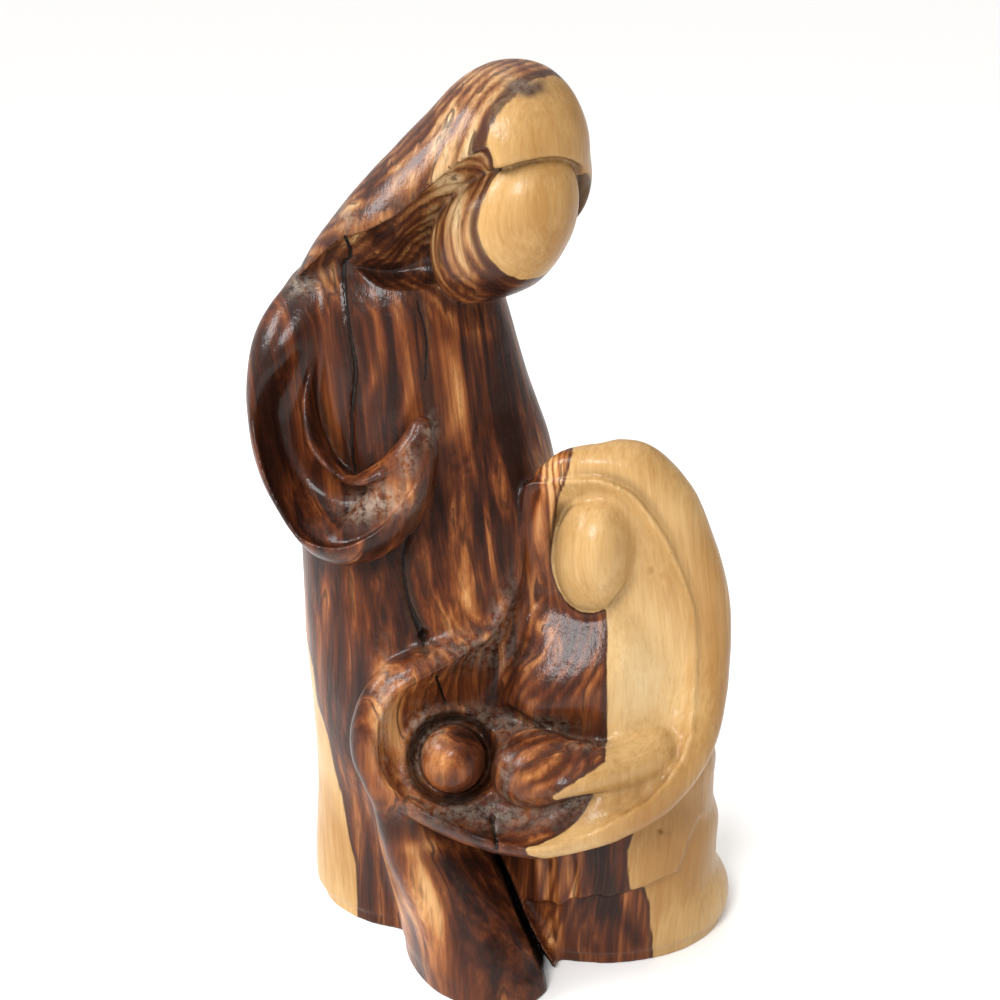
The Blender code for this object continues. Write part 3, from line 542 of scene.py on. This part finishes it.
# ------------------------------------------------------ figure of the wood
# The block is one leaning branch: its pith is a line, growth rings lie round
# it, and outside the boundary radius the wood is pale sapwood.
PITH = [(0, -10, 1), (60, -10, -1), (100, -9, -2), (150, -13, 4), (215, -21, 14), (255, -24, 17)]      # height, x, y
LEFT_RADIUS = [(0, 38.6), (23, 39), (45, 41.3), (67, 44.5), (79, 47), (92, 49), (104, 55), (120, 70), (206, 64), (216, 44), (226, 38), (231, 39.4), (255, 40)]
RIGHT_RADIUS = [(0, 55), (8, 55), (20, 53), (29, 50), (42, 48.3), (58, 50.4), (72, 49.2), (80, 52), (90, 70), (190, 70), (198, 36), (215, 36.6), (226, 37), (231, 39.4), (255, 40)]
RIGHT_EDGE = [(66, 60), (74, 30), (80, 23), (108, 23.2), (113, 22.8), (117, 18), (122, 12), (129, 9), (143, 10.5), (155, 13.5), (166, 18), (180, 60)]   # height, x


def patches(u, v, rows):             # soft spots on the sheet: (u, v, reach u, reach v, amount)
    out = np.zeros(len(u))
    for a, b, ru, rv, amount in rows:
        out += amount * np.exp(-((u - a) / ru) ** 2 - ((v - b) / rv) ** 2)
    return out


TONE_AND_SHADE = [(270, 400, 40, 110, -0.50), (330, 540, 60, 36, -0.45), (500, 100, 60, 60, 1.1), (430, 180, 50, 40, 1.05), (470, 235, 34, 56, 1.15),
        # the spots at (503, 345) and (515, 440) are painted shade on the standing figure's right, shadow side
        (503, 345, 20, 80, -0.9), (454, 385, 13, 66, 0.40), (465, 520, 40, 50, -0.45), (495, 400, 34, 120, -0.40), (375, 350, 30, 80, -0.20), (384, 712, 14, 60, 1.5), (396, 790, 18, 24, 1.0), (450, 846, 60, 8, 0.8), (460, 600, 14, 40, 0.40), (300, 330, 26, 60, -0.35),
        (400, 905, 16, 60, 0.75), (405, 502, 24, 22, 0.5), (475, 560, 30, 60, 0.15), (630, 640, 30, 60, 0.25), (560, 640, 40, 50, 0.25), (548, 530, 14, 60, 1.25), (550, 470, 18, 34, 1.2),
        (400, 275, 45, 25, -0.55), (350, 330, 20, 60, -0.10), (468, 610, 22, 40, 0.50), (400, 600, 25, 60, -0.25), (515, 440, 24, 80, -0.75),
        (340, 700, 20, 110, -0.30), (395, 720, 18, 50, 0.55), (425, 900, 15, 45, 0.60), (485, 920, 30, 60, -0.50), (470, 850, 40, 30, -0.55),
        # the -0.5 spot at (470, 745) is painted shade on the right side of the child's head
        (610, 900, 22, 60, -0.75), (530, 560, 16, 60, 0.30), (575, 680, 40, 50, -0.12), (448, 762, 20, 22, 1.1), (470, 745, 12, 20, -0.5),
        (530, 775, 34, 26, 0.65), (575, 775, 20, 12, 0.60), (440, 812, 60, 14, -0.30), (405, 490, 18, 26, 0.70), (560, 870, 40, 24, 0.20), (300, 250, 30, 30, 0.0),
        (330, 620, 26, 40, 0.12), (410, 530, 60, 20, 0.05), (385, 850, 14, 60, 0.35)]
STREAKS = [([(372, 288, 4), (379, 330, 5), (377, 370, 6), (366, 402, 4), (370, 450, 3)], 0.75), ([(396, 300, 5), (406, 340, 7), (411, 385, 6), (398, 425, 4)], 0.70),
           ([(330, 310, 5), (333, 390, 6), (340, 455, 4)], 0.35), ([(436, 300, 6), (462, 330, 7), (490, 335, 5)], 0.50), ([(447, 350, 8), (460, 395, 11), (447, 440, 6)], 0.60),
           ([(480, 360, 3), (478, 410, 3), (470, 455, 2), (452, 470, 2)], -0.55), ([(430, 330, 3), (432, 390, 3), (440, 425, 3), (455, 452, 2)], -0.45),
           ([(388, 300, 2.5), (394, 360, 3), (386, 420, 3), (384, 455, 2)], -0.55), ([(448, 470, 5), (452, 530, 6), (446, 585, 6), (460, 640, 6)], 0.45),
           ([(470, 470, 3), (478, 530, 4), (466, 590, 3)], -0.45), ([(492, 500, 4), (500, 560, 4), (490, 600, 3)], -0.40),
           ([(332, 590, 3), (342, 660, 4), (352, 740, 4), (366, 840, 4), (372, 905, 4)], -0.45), ([(316, 580, 3), (326, 650, 3), (330, 700, 3)], -0.40),
           ([(378, 600, 4), (372, 660, 5), (358, 710, 4)], -0.35), ([(352, 560, 5), (356, 620, 6), (350, 680, 4)], 0.40), ([(410, 850, 6), (428, 890, 7), (440, 925, 7), (430, 965, 8)], 0.50),
           ([(512, 870, 4), (530, 920, 4), (545, 965, 4)], 0.25), ([(597, 850, 6), (612, 900, 9), (636, 940, 7)], -0.80), ([(550, 860, 3), (552, 900, 3)], -0.5), ([(566, 858, 4), (572, 898, 4)], 0.45),
           ([(583, 852, 3), (590, 900, 4), (597, 940, 4)], 0.65), ([(556, 905, 3), (562, 950, 3)], 0.55), ([(577, 900, 2.5), (584, 945, 2.5)], -0.5), ([(540, 862, 3), (544, 900, 3), (552, 940, 2.5)], 0.45)]
# pale wax and dust, and on some rims and ridges a painted sheen and glare: (u, v, reach u, reach v, amount)
DUST_AND_SHEEN = [(385, 500, 24, 13, 0.95), (362, 512, 20, 12, 0.6), (408, 462, 8, 18, 0.7), (383, 715, 8, 50, 0.8), (500, 618, 9, 22, 0.5), (425, 730, 16, 18, 0.9), (412, 765, 10, 30, 0.6), (470, 715, 30, 10, 0.5),
        (505, 770, 8, 36, 0.45), (520, 815, 50, 14, 0.40), (450, 812, 50, 12, 0.35), (530, 725, 40, 8, 0.55), (590, 745, 30, 6, 0.4), (512, 600, 6, 30, 0.25), (480, 640, 24, 8, 0.3),
        (470, 655, 40, 14, 0.45), (300, 285, 14, 10, 0.9), (395, 190, 12, 40, 0.15), (430, 430, 8, 16, 0.5), (345, 213, 10, 14, 0.7),
        (522, 86, 14, 8, 0.5), (505, 72, 10, 8, 0.4), (640, 790, 26, 14, 0.2), (575, 800, 20, 10, 0.5)]
VEINS = [[(417, 298, 1.4), (424, 320, 1.8), (427, 345, 1.3), (424, 375, 1.5), (428, 405, 1.2), (436, 430, 0.9)],
         [(346, 262, 1.2), (346, 300, 1.4), (351, 340, 1.1), (355, 372, 1.0), (353, 410, 0.6)],
         [(425, 480, 0.9), (413, 520, 1.4), (405, 560, 1.4), (409, 600, 2.0), (420, 632, 2.2), (426, 655, 1.1)]]


BANDED = [(560, 650, 90, 70, 0.7), (548, 490, 22, 70, 1.0), (480, 600, 40, 60, 0.5), (545, 770, 40, 30, 1.0), (340, 720, 36, 160, 0.7), (570, 870, 60, 50, 0.8), (320, 300, 50, 60, 0.2)]   # clear growth rings
# shifts of the pale wood (u, v, reach u, reach v, amount); the spots at (722, 640) and (665, 870) darken the right
# side as painted shade
HONEY_AND_SHADE = [(530, 228, 40, 46, -0.9), (665, 870, 54, 80, -1.7), (722, 640, 24, 130, -1.3), (640, 680, 46, 80, 1.1), (590, 560, 30, 50, 0.1), (335, 850, 16, 60, -0.2), (650, 440, 60, 40, 0.1), (575, 830, 60, 20, 0.25)]
STAIN = [(527, 90, 15, 7, 1.6), (514, 84, 9, 6, 0.8), (540, 80, 8, 8, 0.6), (668, 832, 3, 3, 0.6)]   # knot in the hood


HOOD_GAP_SHADE = [[(579, 172, 1.6), (585, 190, 3.0), (578, 215, 3.2), (564, 240, 2.4), (556, 262, 1.5)]]     # painted shade inside the hood beside the head


def streaks(u, v, rows):             # soft streaks along lines of the sheet, half widths in units of the sheet
    out = np.zeros(len(u))
    for line, amount in rows:
        line = np.array(line, float)
        near = (u > line[:, 0].min() - 25) & (u < line[:, 0].max() + 25) & (v > line[:, 1].min() - 25) & (v < line[:, 1].max() + 25)
        if near.any():
            q = np.stack([u[near], v[near]], 1)
            value, _ = closest(q, line)
            out[near] += amount * np.exp(-(np.linalg.norm(q - value[:, :2], axis=1) / value[:, 2]) ** 2)
    return out


def nearest_line(u, v, mm, lines):
    # signed distance in mm to the nearest of some lines of the sheet, and its width there
    best, width = np.full(len(u), 6.0), np.full(len(u), -1.0)
    for rows in lines:
        C = spline(rows, 3)
        away = np.hypot(np.maximum(np.maximum(C[:, 0].min() - u, u - C[:, 0].max()), 0), np.maximum(np.maximum(C[:, 1].min() - v, v - C[:, 1].max()), 0))
        near = away < 26
        if not near.any():
            continue
        uu, vv, m = u[near], v[near], mm[near]
        d, w, s = np.full(len(uu), 1e9), np.zeros(len(uu)), np.ones(len(uu))
        for i, (a, b) in enumerate(zip(C[:-1], C[1:])):
            ab = b[:2] - a[:2]
            raw = ((uu - a[0]) * ab[0] + (vv - a[1]) * ab[1]) / (ab @ ab + 1e-9)
            t = np.clip(raw, 0, 1)
            dd = np.hypot(uu - a[0] - t * ab[0], vv - a[1] - t * ab[1]) * m
            over = np.abs(raw - t) * np.hypot(*ab) * m
            over = np.where((i == 0) & (raw < 0) | (i == len(C) - 2) & (raw > 1), over, 0)
            side = np.sign((uu - a[0]) * ab[1] - (vv - a[1]) * ab[0])
            new = dd < d
            d[new], w[new], s[new] = dd[new], (a[2] + t * (b[2] - a[2]) - 0.8 * over)[new], side[new]
        closer = d < np.abs(best[near])
        idx = np.where(near)[0][closer]
        best[idx], width[idx] = (np.minimum(d, 6) * s)[closer], w[closer]
    return best, width


def wood_figure(p, n):
    u, v, mm = sheet(p)
    x, y, z = p.T
    px, py = (np.interp(z, [a[0] for a in PITH], [a[i] for a in PITH]) for i in (1, 2))
    dx, dy = x - px, y - py
    wave = 1.6 * noise(p / np.array([24.0, 24.0, 80.0])) + 0.5 * noise(p / np.array([8.0, 8.0, 34.0]) + 5)
    r = np.hypot(dx, dy)
    side = dx / np.maximum(r, 1)
    left, right = smooth(side, -0.62, -0.86), np.maximum(smooth(side, 0.10, 0.24), smooth(z, 188, 198))
    edge = left * np.interp(z, *zip(*LEFT_RADIUS)) + (1 - left) * (right * np.interp(z, *zip(*RIGHT_RADIUS)) + (1 - right) * 62)
    ragged = 0.35 * wave + 0.7 * noise(p / np.array([14.0, 14.0, 11.0]) + 9)
    sap = np.maximum(r + ragged - edge, x + ragged - np.interp(z, *zip(*RIGHT_EDGE), right=60, left=60))
    sap = np.maximum(sap, 1.1 - 1.6 * np.maximum(ellipsoid(p, *VEILED_HEAD), 0))
    unit = np.stack([dx, dy], 1) / np.maximum(r, 1.0)[:, None]
    front = smooth(y, 14, 2)
    crack_s, crack_w = nearest_line(u, v, mm, [rows for rows, _ in CRACKS])
    vein_and_shade_s, vein_and_shade_w = nearest_line(u, v, mm, VEINS)
    # the painted shade in the hood beside the head is drawn with the vein lines
    gap_shade_s, gap_shade_w = nearest_line(u, v, mm, HOOD_GAP_SHADE)
    in_gap_shade = (gap_shade_w > 0) & (y > -8) & (np.abs(gap_shade_s) < 5)
    vein_and_shade_s, vein_and_shade_w = np.where(in_gap_shade, gap_shade_s, vein_and_shade_s), np.where(in_gap_shade, gap_shade_w, vein_and_shade_w)
    # how deep in a hollow each point lies: drives the painted shade in the recesses and a little roughness
    recess_shade = np.clip(1 - in_parts(carved, p + n * 3.0) / 3.0, 0, 1) * 0.6 + np.clip(1 - in_parts(carved, p + n * 7.0) / 7.0, 0, 1) * 0.4
    return {
        "grain": np.stack([unit[:, 0] * 12, unit[:, 1] * 12, z * 0.02], 1),
        "ring": r + wave,
        "sap": sap,
        "tone_and_shade": (patches(u, v, TONE_AND_SHADE) + streaks(u, v, STREAKS)) * front,
        "head": smooth(z, 186, 200),
        "banded": np.clip(patches(u, v, BANDED) * front + smooth(z, 186, 200) * (0.45 + 0.15 * front), 0, 1),
        "honey_and_shade": patches(u, v, HONEY_AND_SHADE) * front,
        "stain": np.clip(patches(u, v, STAIN), 0, 1) * smooth(y, 25, 20),
        "dust_and_sheen": np.clip(patches(u, v, DUST_AND_SHEEN), 0, 1) * front,
        "recess_shade": recess_shade,
        "crack": crack_s + 6 * (1 - front),
        "crack_width": crack_w * front,
        "vein_and_shade": vein_and_shade_s,
        "vein_and_shade_width": vein_and_shade_w * front,
    }


def olive_wood_material():
    mat = bpy.data.materials.new("olive_wood")
    mat.use_nodes = True
    nodes, links = mat.node_tree.nodes, mat.node_tree.links
    shader = nodes["Principled BSDF"]

    def put(socket, value):
        if isinstance(value, bpy.types.NodeSocket):
            links.new(value, socket)
        else:
            socket.default_value = value

    def attr(name, out="Fac"):
        node = nodes.new("ShaderNodeAttribute")
        node.attribute_name = name
        return node.outputs[out]

    def math_(op, a, b=0.0, c=0.0, clamp=False):
        node = nodes.new("ShaderNodeMath")
        node.operation = op
        node.use_clamp = clamp
        for i, value in enumerate((a, b, c)):
            put(node.inputs[i], value)
        return node.outputs[0]

    def band(value, lo, hi, a=0.0, b=1.0):     # smooth step from a to b
        node = nodes.new("ShaderNodeMapRange")
        node.interpolation_type = "SMOOTHSTEP"
        for i, item in enumerate((value, lo, hi, a, b)):
            put(node.inputs[i], item)
        return node.outputs[0]

    def noise_(vector, w, scale, detail=2.0, rough=0.5, kind="4D", warp=0.0):
        node = nodes.new("ShaderNodeTexNoise")
        node.noise_dimensions = kind
        put(node.inputs["Vector"], vector)
        if kind == "4D":
            put(node.inputs["W"], w)
        put(node.inputs["Scale"], scale)
        put(node.inputs["Detail"], detail)
        put(node.inputs["Roughness"], rough)
        put(node.inputs["Distortion"], warp)
        return node.outputs["Fac"]

    def mix(fac, a, b, how="MIX"):
        node = nodes.new("ShaderNodeMix")
        node.data_type = "RGBA"
        node.blend_type = how
        put(node.inputs["Factor"], fac)
        put(node.inputs["A"], a)
        put(node.inputs["B"], b)
        return node.outputs["Result"]

    def ramp(value, stops):
        node = nodes.new("ShaderNodeValToRGB")
        bar = node.color_ramp
        while len(bar.elements) < len(stops):
            bar.elements.new(0.5)
        for element, (place, colour) in zip(bar.elements, stops):
            element.position = place
            element.color = (*colour, 1)
        put(node.inputs["Fac"], value)
        return node.outputs["Color"]

    def scaled(vector, by):
        node = nodes.new("ShaderNodeVectorMath")
        node.operation = "MULTIPLY"
        put(node.inputs[0], vector)
        node.inputs[1].default_value = by
        return node.outputs["Vector"]

    place = nodes.new("ShaderNodeTexCoord").outputs["Object"]
    grain, ring, sap = attr("grain", "Vector"), attr("ring"), attr("sap")
    tone_and_shade, dust_and_sheen, recess_shade = attr("tone_and_shade"), attr("dust_and_sheen"), attr("recess_shade")
    head, banded = attr("head"), attr("banded")

    # dark heartwood: broad bands, long streaks, growth lines
    broad = noise_(scaled(grain, (0.35, 0.35, 0.6)), math_("MULTIPLY", ring, 0.16), 1.0, 2.0, 0.5, warp=0.6)
    thin = noise_(grain, math_("MULTIPLY", ring, 0.55), 1.0, 4.0, 0.58, warp=0.35)
    fine = noise_(scaled(grain, (3.2, 3.2, 2.4)), math_("MULTIPLY", ring, 1.9), 1.0, 2.0, 0.6)
    along = math_("MULTIPLY", ring, 2.4)
    bend = math_("SUBTRACT", 24.0, math_("MAXIMUM", math_("MULTIPLY", banded, 18.0), math_("MULTIPLY", head, 19.0)))
    lines = math_("SINE", math_("ADD", along, math_("MULTIPLY", broad, bend)))
    wide = math_("SINE", math_("ADD", math_("MULTIPLY", along, 0.42), math_("MULTIPLY", broad, 13.0)))
    figure = math_("ADD", math_("MULTIPLY", broad, 0.75), math_("MULTIPLY", thin, 0.27))
    figure = math_("ADD", figure, math_("MULTIPLY", math_("SUBTRACT", fine, 0.5), 0.17))
    figure = math_("ADD", figure, math_("MULTIPLY", lines, math_("ADD", 0.018, math_("MULTIPLY", banded, 0.060))))
    figure = math_("ADD", figure, math_("MULTIPLY", wide, math_("SUBTRACT", 0.028, math_("MULTIPLY", head, 0.015))))
    figure = math_("SUBTRACT", figure, math_("SUBTRACT", 0.040, math_("MULTIPLY", head, 0.040)))
    # tone spots: mostly the wood's own colour, a few of them painted shade
    figure = math_("ADD", figure, math_("MULTIPLY", tone_and_shade, 0.17), clamp=True)
    heart = ramp(figure, [(0.32, (0.016, 0.005, 0.003)), (0.40, (0.040, 0.010, 0.004)), (0.49, (0.088, 0.022, 0.007)), (0.57, (0.165, 0.048, 0.013)),
                          (0.66, (0.300, 0.112, 0.033)), (0.75, (0.470, 0.235, 0.088)), (0.87, (0.580, 0.350, 0.160))])
    dark_line = math_("MULTIPLY", band(wide, 0.86, 1.0), math_("MULTIPLY", band(thin, 0.38, 0.55), 0.75))
    heart = mix(dark_line, heart, (0.026, 0.008, 0.004, 1))
    ring_line = math_("MULTIPLY", band(lines, -0.50, -0.98), math_("MULTIPLY", banded, 0.60))
    heart = mix(ring_line, heart, (0.060, 0.020, 0.010, 1))
    heart = mix(head, heart, (0.76, 0.86, 1.0, 1), "MULTIPLY")
    # honey sapwood with faint rings
    cloud = noise_(place, 0.0, 24.0, 2.0, 0.5, "3D")
    pale_mix = math_("ADD", math_("MULTIPLY", thin, 0.25), math_("MULTIPLY", cloud, 0.55))
    pale_mix = math_("ADD", pale_mix, math_("MULTIPLY", fine, 0.20))
    # spots shift the pale wood; those on the right side are painted shade
    pale_mix = math_("ADD", math_("SUBTRACT", pale_mix, math_("ADD", 0.10, math_("MULTIPLY", head, 0.07))), math_("MULTIPLY", attr("honey_and_shade"), 0.12))
    pale = ramp(pale_mix, [(0.14, (0.275, 0.125, 0.030)), (0.28, (0.318, 0.166, 0.052)), (0.40, (0.405, 0.240, 0.091)), (0.52, (0.490, 0.320, 0.143)), (0.66, (0.550, 0.392, 0.204))])
    edge = math_("ADD", sap, math_("MULTIPLY", math_("SUBTRACT", thin, 0.5), 1.6))
    colour = mix(band(edge, -0.25, 0.30), heart, pale)
    # the dark line that the pale wood starts with
    reach = math_("MULTIPLY", head, -1.0)
    line = math_("MULTIPLY", band(edge, math_("SUBTRACT", reach, 1.5), math_("SUBTRACT", reach, 0.3)), band(edge, 0.35, -0.25))
    colour = mix(math_("MULTIPLY", line, 0.80), colour, (0.040, 0.014, 0.008, 1))
    # veins, cracks, and the painted shade beside the head
    jitter = math_("MULTIPLY", math_("SUBTRACT", noise_(place, 0.0, 420.0, 3.0, 0.6, "3D"), 0.5), 1.1)
    vein_and_shade = math_("SUBTRACT", attr("vein_and_shade_width"), math_("ABSOLUTE", math_("ADD", attr("vein_and_shade"), math_("MULTIPLY", jitter, 1.6))))
    colour = mix(math_("MULTIPLY", band(vein_and_shade, -0.5, 0.7), 0.78), colour, (0.028, 0.012, 0.007, 1))
    crack = math_("SUBTRACT", attr("crack_width"), math_("ABSOLUTE", math_("ADD", attr("crack"), jitter)))
    crack = band(crack, -0.15, 0.12)
    colour = mix(crack, colour, (0.006, 0.004, 0.003, 1))
    smudge = noise_(place, 0.0, 130.0, 2.0, 0.6, "3D")
    colour = mix(math_("MULTIPLY", attr("stain"), band(smudge, 0.30, 0.62, 0.45, 1.0)), colour, (0.055, 0.028, 0.018, 1))
    # short pores and fibres along the branch
    fibre = noise_(scaled(place, (900.0, 900.0, 46.0)), 0.0, 1.0, 3.0, 0.65, "3D")
    pores = math_("MULTIPLY", band(fibre, 0.50, 0.30), math_("ADD", 0.10, math_("MULTIPLY", band(edge, 0.3, -0.3), 0.28)))
    colour = mix(pores, colour, (0.030, 0.012, 0.006, 1))
    # painted shade darkens the recesses; pale wax, partly a painted sheen, lies in some of them
    grit = noise_(place, 0.0, 480.0, 4.0, 0.7, "3D")
    colour = mix(math_("MULTIPLY", band(recess_shade, 0.35, 0.95), 0.45), colour, (0.018, 0.009, 0.006, 1))
    # pale wax mask, partly a painted sheen and glare
    wax_and_sheen = math_("MULTIPLY", dust_and_sheen, band(grit, 0.38, 0.62))
    colour = mix(math_("MULTIPLY", wax_and_sheen, 0.62), colour, (0.330, 0.262, 0.198, 1))
    put(shader.inputs["Base Color"], colour)

    rough = math_("ADD", math_("MULTIPLY", wax_and_sheen, 0.30), math_("MULTIPLY", fibre, 0.22))
    rough = math_("ADD", rough, math_("MULTIPLY", recess_shade, 0.18))
    put(shader.inputs["Roughness"], math_("ADD", rough, 0.24))
    shader.inputs["Specular IOR Level"].default_value = 0.06
    shader.inputs["Coat Weight"].default_value = 0.24
    shader.inputs["Coat Roughness"].default_value = 0.17
    bump = nodes.new("ShaderNodeBump")
    bump.inputs["Strength"].default_value = 0.40
    bump.inputs["Distance"].default_value = 0.0007
    height = math_("ADD", math_("MULTIPLY", fibre, 0.35), math_("MULTIPLY", noise_(place, 0.0, 230.0, 3.0, 0.6, "3D"), 0.60))
    height = math_("ADD", height, math_("MULTIPLY", math_("MULTIPLY", wax_and_sheen, grit), 0.6))
    height = math_("SUBTRACT", height, math_("MULTIPLY", crack, 1.6))
    put(bump.inputs["Height"], height)
    put(shader.inputs["Normal"], bump.outputs["Normal"])
    put(shader.inputs["Coat Normal"], bump.outputs["Normal"])
    return mat

step = 0.84
points, quads = skin_of(carved, step)
points = relaxed(carved, points, quads, 3)

mesh = bpy.data.meshes.new("carved_olive_wood")
mesh.vertices.add(len(points))
mesh.vertices.foreach_set("co", ((points - CENTRE) * MM).ravel())
mesh.loops.add(quads.size)
mesh.loops.foreach_set("vertex_index", quads.ravel())
mesh.polygons.add(len(quads))
mesh.polygons.foreach_set("loop_start", np.arange(0, quads.size, 4))
mesh.polygons.foreach_set("use_smooth", np.ones(len(quads), bool))
mesh.update(calc_edges=True)
wood_piece = bpy.data.objects.new("carved_olive_wood", mesh)
bpy.context.collection.objects.link(wood_piece)

LIMIT = 196000
triangles = 2 * len(quads)
if triangles > LIMIT:
    cut = wood_piece.modifiers.new("fewer", "DECIMATE")
    cut.ratio = LIMIT / triangles
    cut.use_collapse_triangulate = True
    bpy.context.view_layer.update()
    smaller = bpy.data.meshes.new_from_object(wood_piece.evaluated_get(bpy.context.evaluated_depsgraph_get()))
    wood_piece.modifiers.clear()
    wood_piece.data = smaller
    bpy.data.meshes.remove(mesh)
    mesh = smaller
mesh.name = "carved_olive_wood"
co = np.empty(len(mesh.vertices) * 3)
mesh.vertices.foreach_get("co", co)
points = co.reshape(-1, 3) / MM + CENTRE
normals = slope_of(carved, points, 0.3)
normals /= np.linalg.norm(normals, axis=1)[:, None] + 1e-9

# ------------------------------------------------------ figure of the wood
values = wood_figure(points, normals)
for name, value in values.items():
    if value.ndim == 2:
        layer = mesh.attributes.new(name, "FLOAT_VECTOR", "POINT")
        layer.data.foreach_set("vector", value.astype(np.float32).ravel())
    else:
        layer = mesh.attributes.new(name, "FLOAT", "POINT")
        layer.data.foreach_set("value", value.astype(np.float32))

wood = olive_wood_material()
mesh.materials.clear()
mesh.materials.append(wood)
mesh.polygons.foreach_set("material_index", np.zeros(len(mesh.polygons), np.int32))
mesh.polygons.foreach_set("use_smooth", np.ones(len(mesh.polygons), bool))
mesh.update()

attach(wood_piece, "root")
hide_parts("holy_family_carving")

# ------------------------------------------------------------ stage, light
floor_mesh = bpy.data.meshes.new("floor")
floor_mesh.from_pydata([(-14, -14, 0), (14, -14, 0), (14, 14, 0), (-14, 14, 0)], [], [(0, 1, 2, 3)])
floor = bpy.data.objects.new("floor", floor_mesh)
bpy.context.collection.objects.link(floor)
pale = bpy.data.materials.new("pale_floor")
pale.use_nodes = True
pale.node_tree.nodes["Principled BSDF"].inputs["Base Color"].default_value = (0.96, 0.955, 0.945, 1)
pale.node_tree.nodes["Principled BSDF"].inputs["Roughness"].default_value = 0.9
floor_mesh.materials.append(pale)

# a studio dome: bright overhead, a little brighter on the left, dim near the floor
world = bpy.data.worlds.new("studio") if bpy.context.scene.world is None else bpy.context.scene.world
bpy.context.scene.world = world
world.use_nodes = True
nodes, links = world.node_tree.nodes, world.node_tree.links
sky = nodes["Background"]
sky.inputs["Color"].default_value = (1.0, 0.995, 0.985, 1)
direction = nodes.new("ShaderNodeTexCoord")
parts = nodes.new("ShaderNodeSeparateXYZ")
links.new(direction.outputs["Generated"], parts.inputs[0])
height = nodes.new("ShaderNodeMapRange")
height.interpolation_type = "SMOOTHSTEP"
for i, value in enumerate((None, -0.05, 0.95, 0.24, 1.30)):
    if i:
        height.inputs[i].default_value = value
links.new(parts.outputs["Z"], height.inputs[0])
lean = nodes.new("ShaderNodeMapRange")
for i, value in enumerate((None, -1.0, 1.0, 1.55, 0.45)):
    if i:
        lean.inputs[i].default_value = value
links.new(parts.outputs["X"], lean.inputs[0])
dome = nodes.new("ShaderNodeMath")
dome.operation = "MULTIPLY"
links.new(height.outputs[0], dome.inputs[0])
links.new(lean.outputs[0], dome.inputs[1])
horizon = nodes.new("ShaderNodeMapRange")
horizon.interpolation_type = "SMOOTHSTEP"
for i, value in enumerate((None, 0.09, 0.19, 0.62, 0.0)):
    if i:
        horizon.inputs[i].default_value = value
links.new(parts.outputs["Z"], horizon.inputs[0])
both = nodes.new("ShaderNodeMath")
both.operation = "ADD"
links.new(dome.outputs[0], both.inputs[0])
links.new(horizon.outputs[0], both.inputs[1])
links.new(both.outputs[0], sky.inputs["Strength"])


def soft_light(name, place, aim, size, watts, colour=(1, 1, 1)):
    data = bpy.data.lights.new(name, "AREA")
    data.shape = "RECTANGLE"
    data.size, data.size_y = size
    data.energy = watts
    data.color = colour
    ob = bpy.data.objects.new(name, data)
    bpy.context.collection.objects.link(ob)
    ob.location = place
    ob.rotation_euler = (Vector(aim) - Vector(place)).to_track_quat("-Z", "Y").to_euler()
    return ob


soft_light("left", (-0.95, -0.10, 0.80), (0, 0, 0.13), (0.36, 0.36), 10.0, (0.96, 0.98, 1.0))
soft_light("window", (-0.33, -0.82, 0.78), (0.01, -0.02, 0.09), (0.33, 0.34), 9.8, (0.97, 0.985, 1.0))

camera_data = bpy.data.cameras.new("camera")
camera = bpy.data.objects.new("camera", camera_data)
bpy.context.collection.objects.link(camera)
camera_data.sensor_width = 36.0
camera_data.lens = FOCAL * 36.0 / 1000.0
camera_data.clip_start, camera_data.clip_end = 0.02, 20
camera.location = (EYE - CENTRE) * MM
camera.rotation_euler = (math.radians(90) - PITCH, 0, 0)
bpy.context.scene.camera = camera
bpy.context.scene.view_settings.view_transform = "Standard"
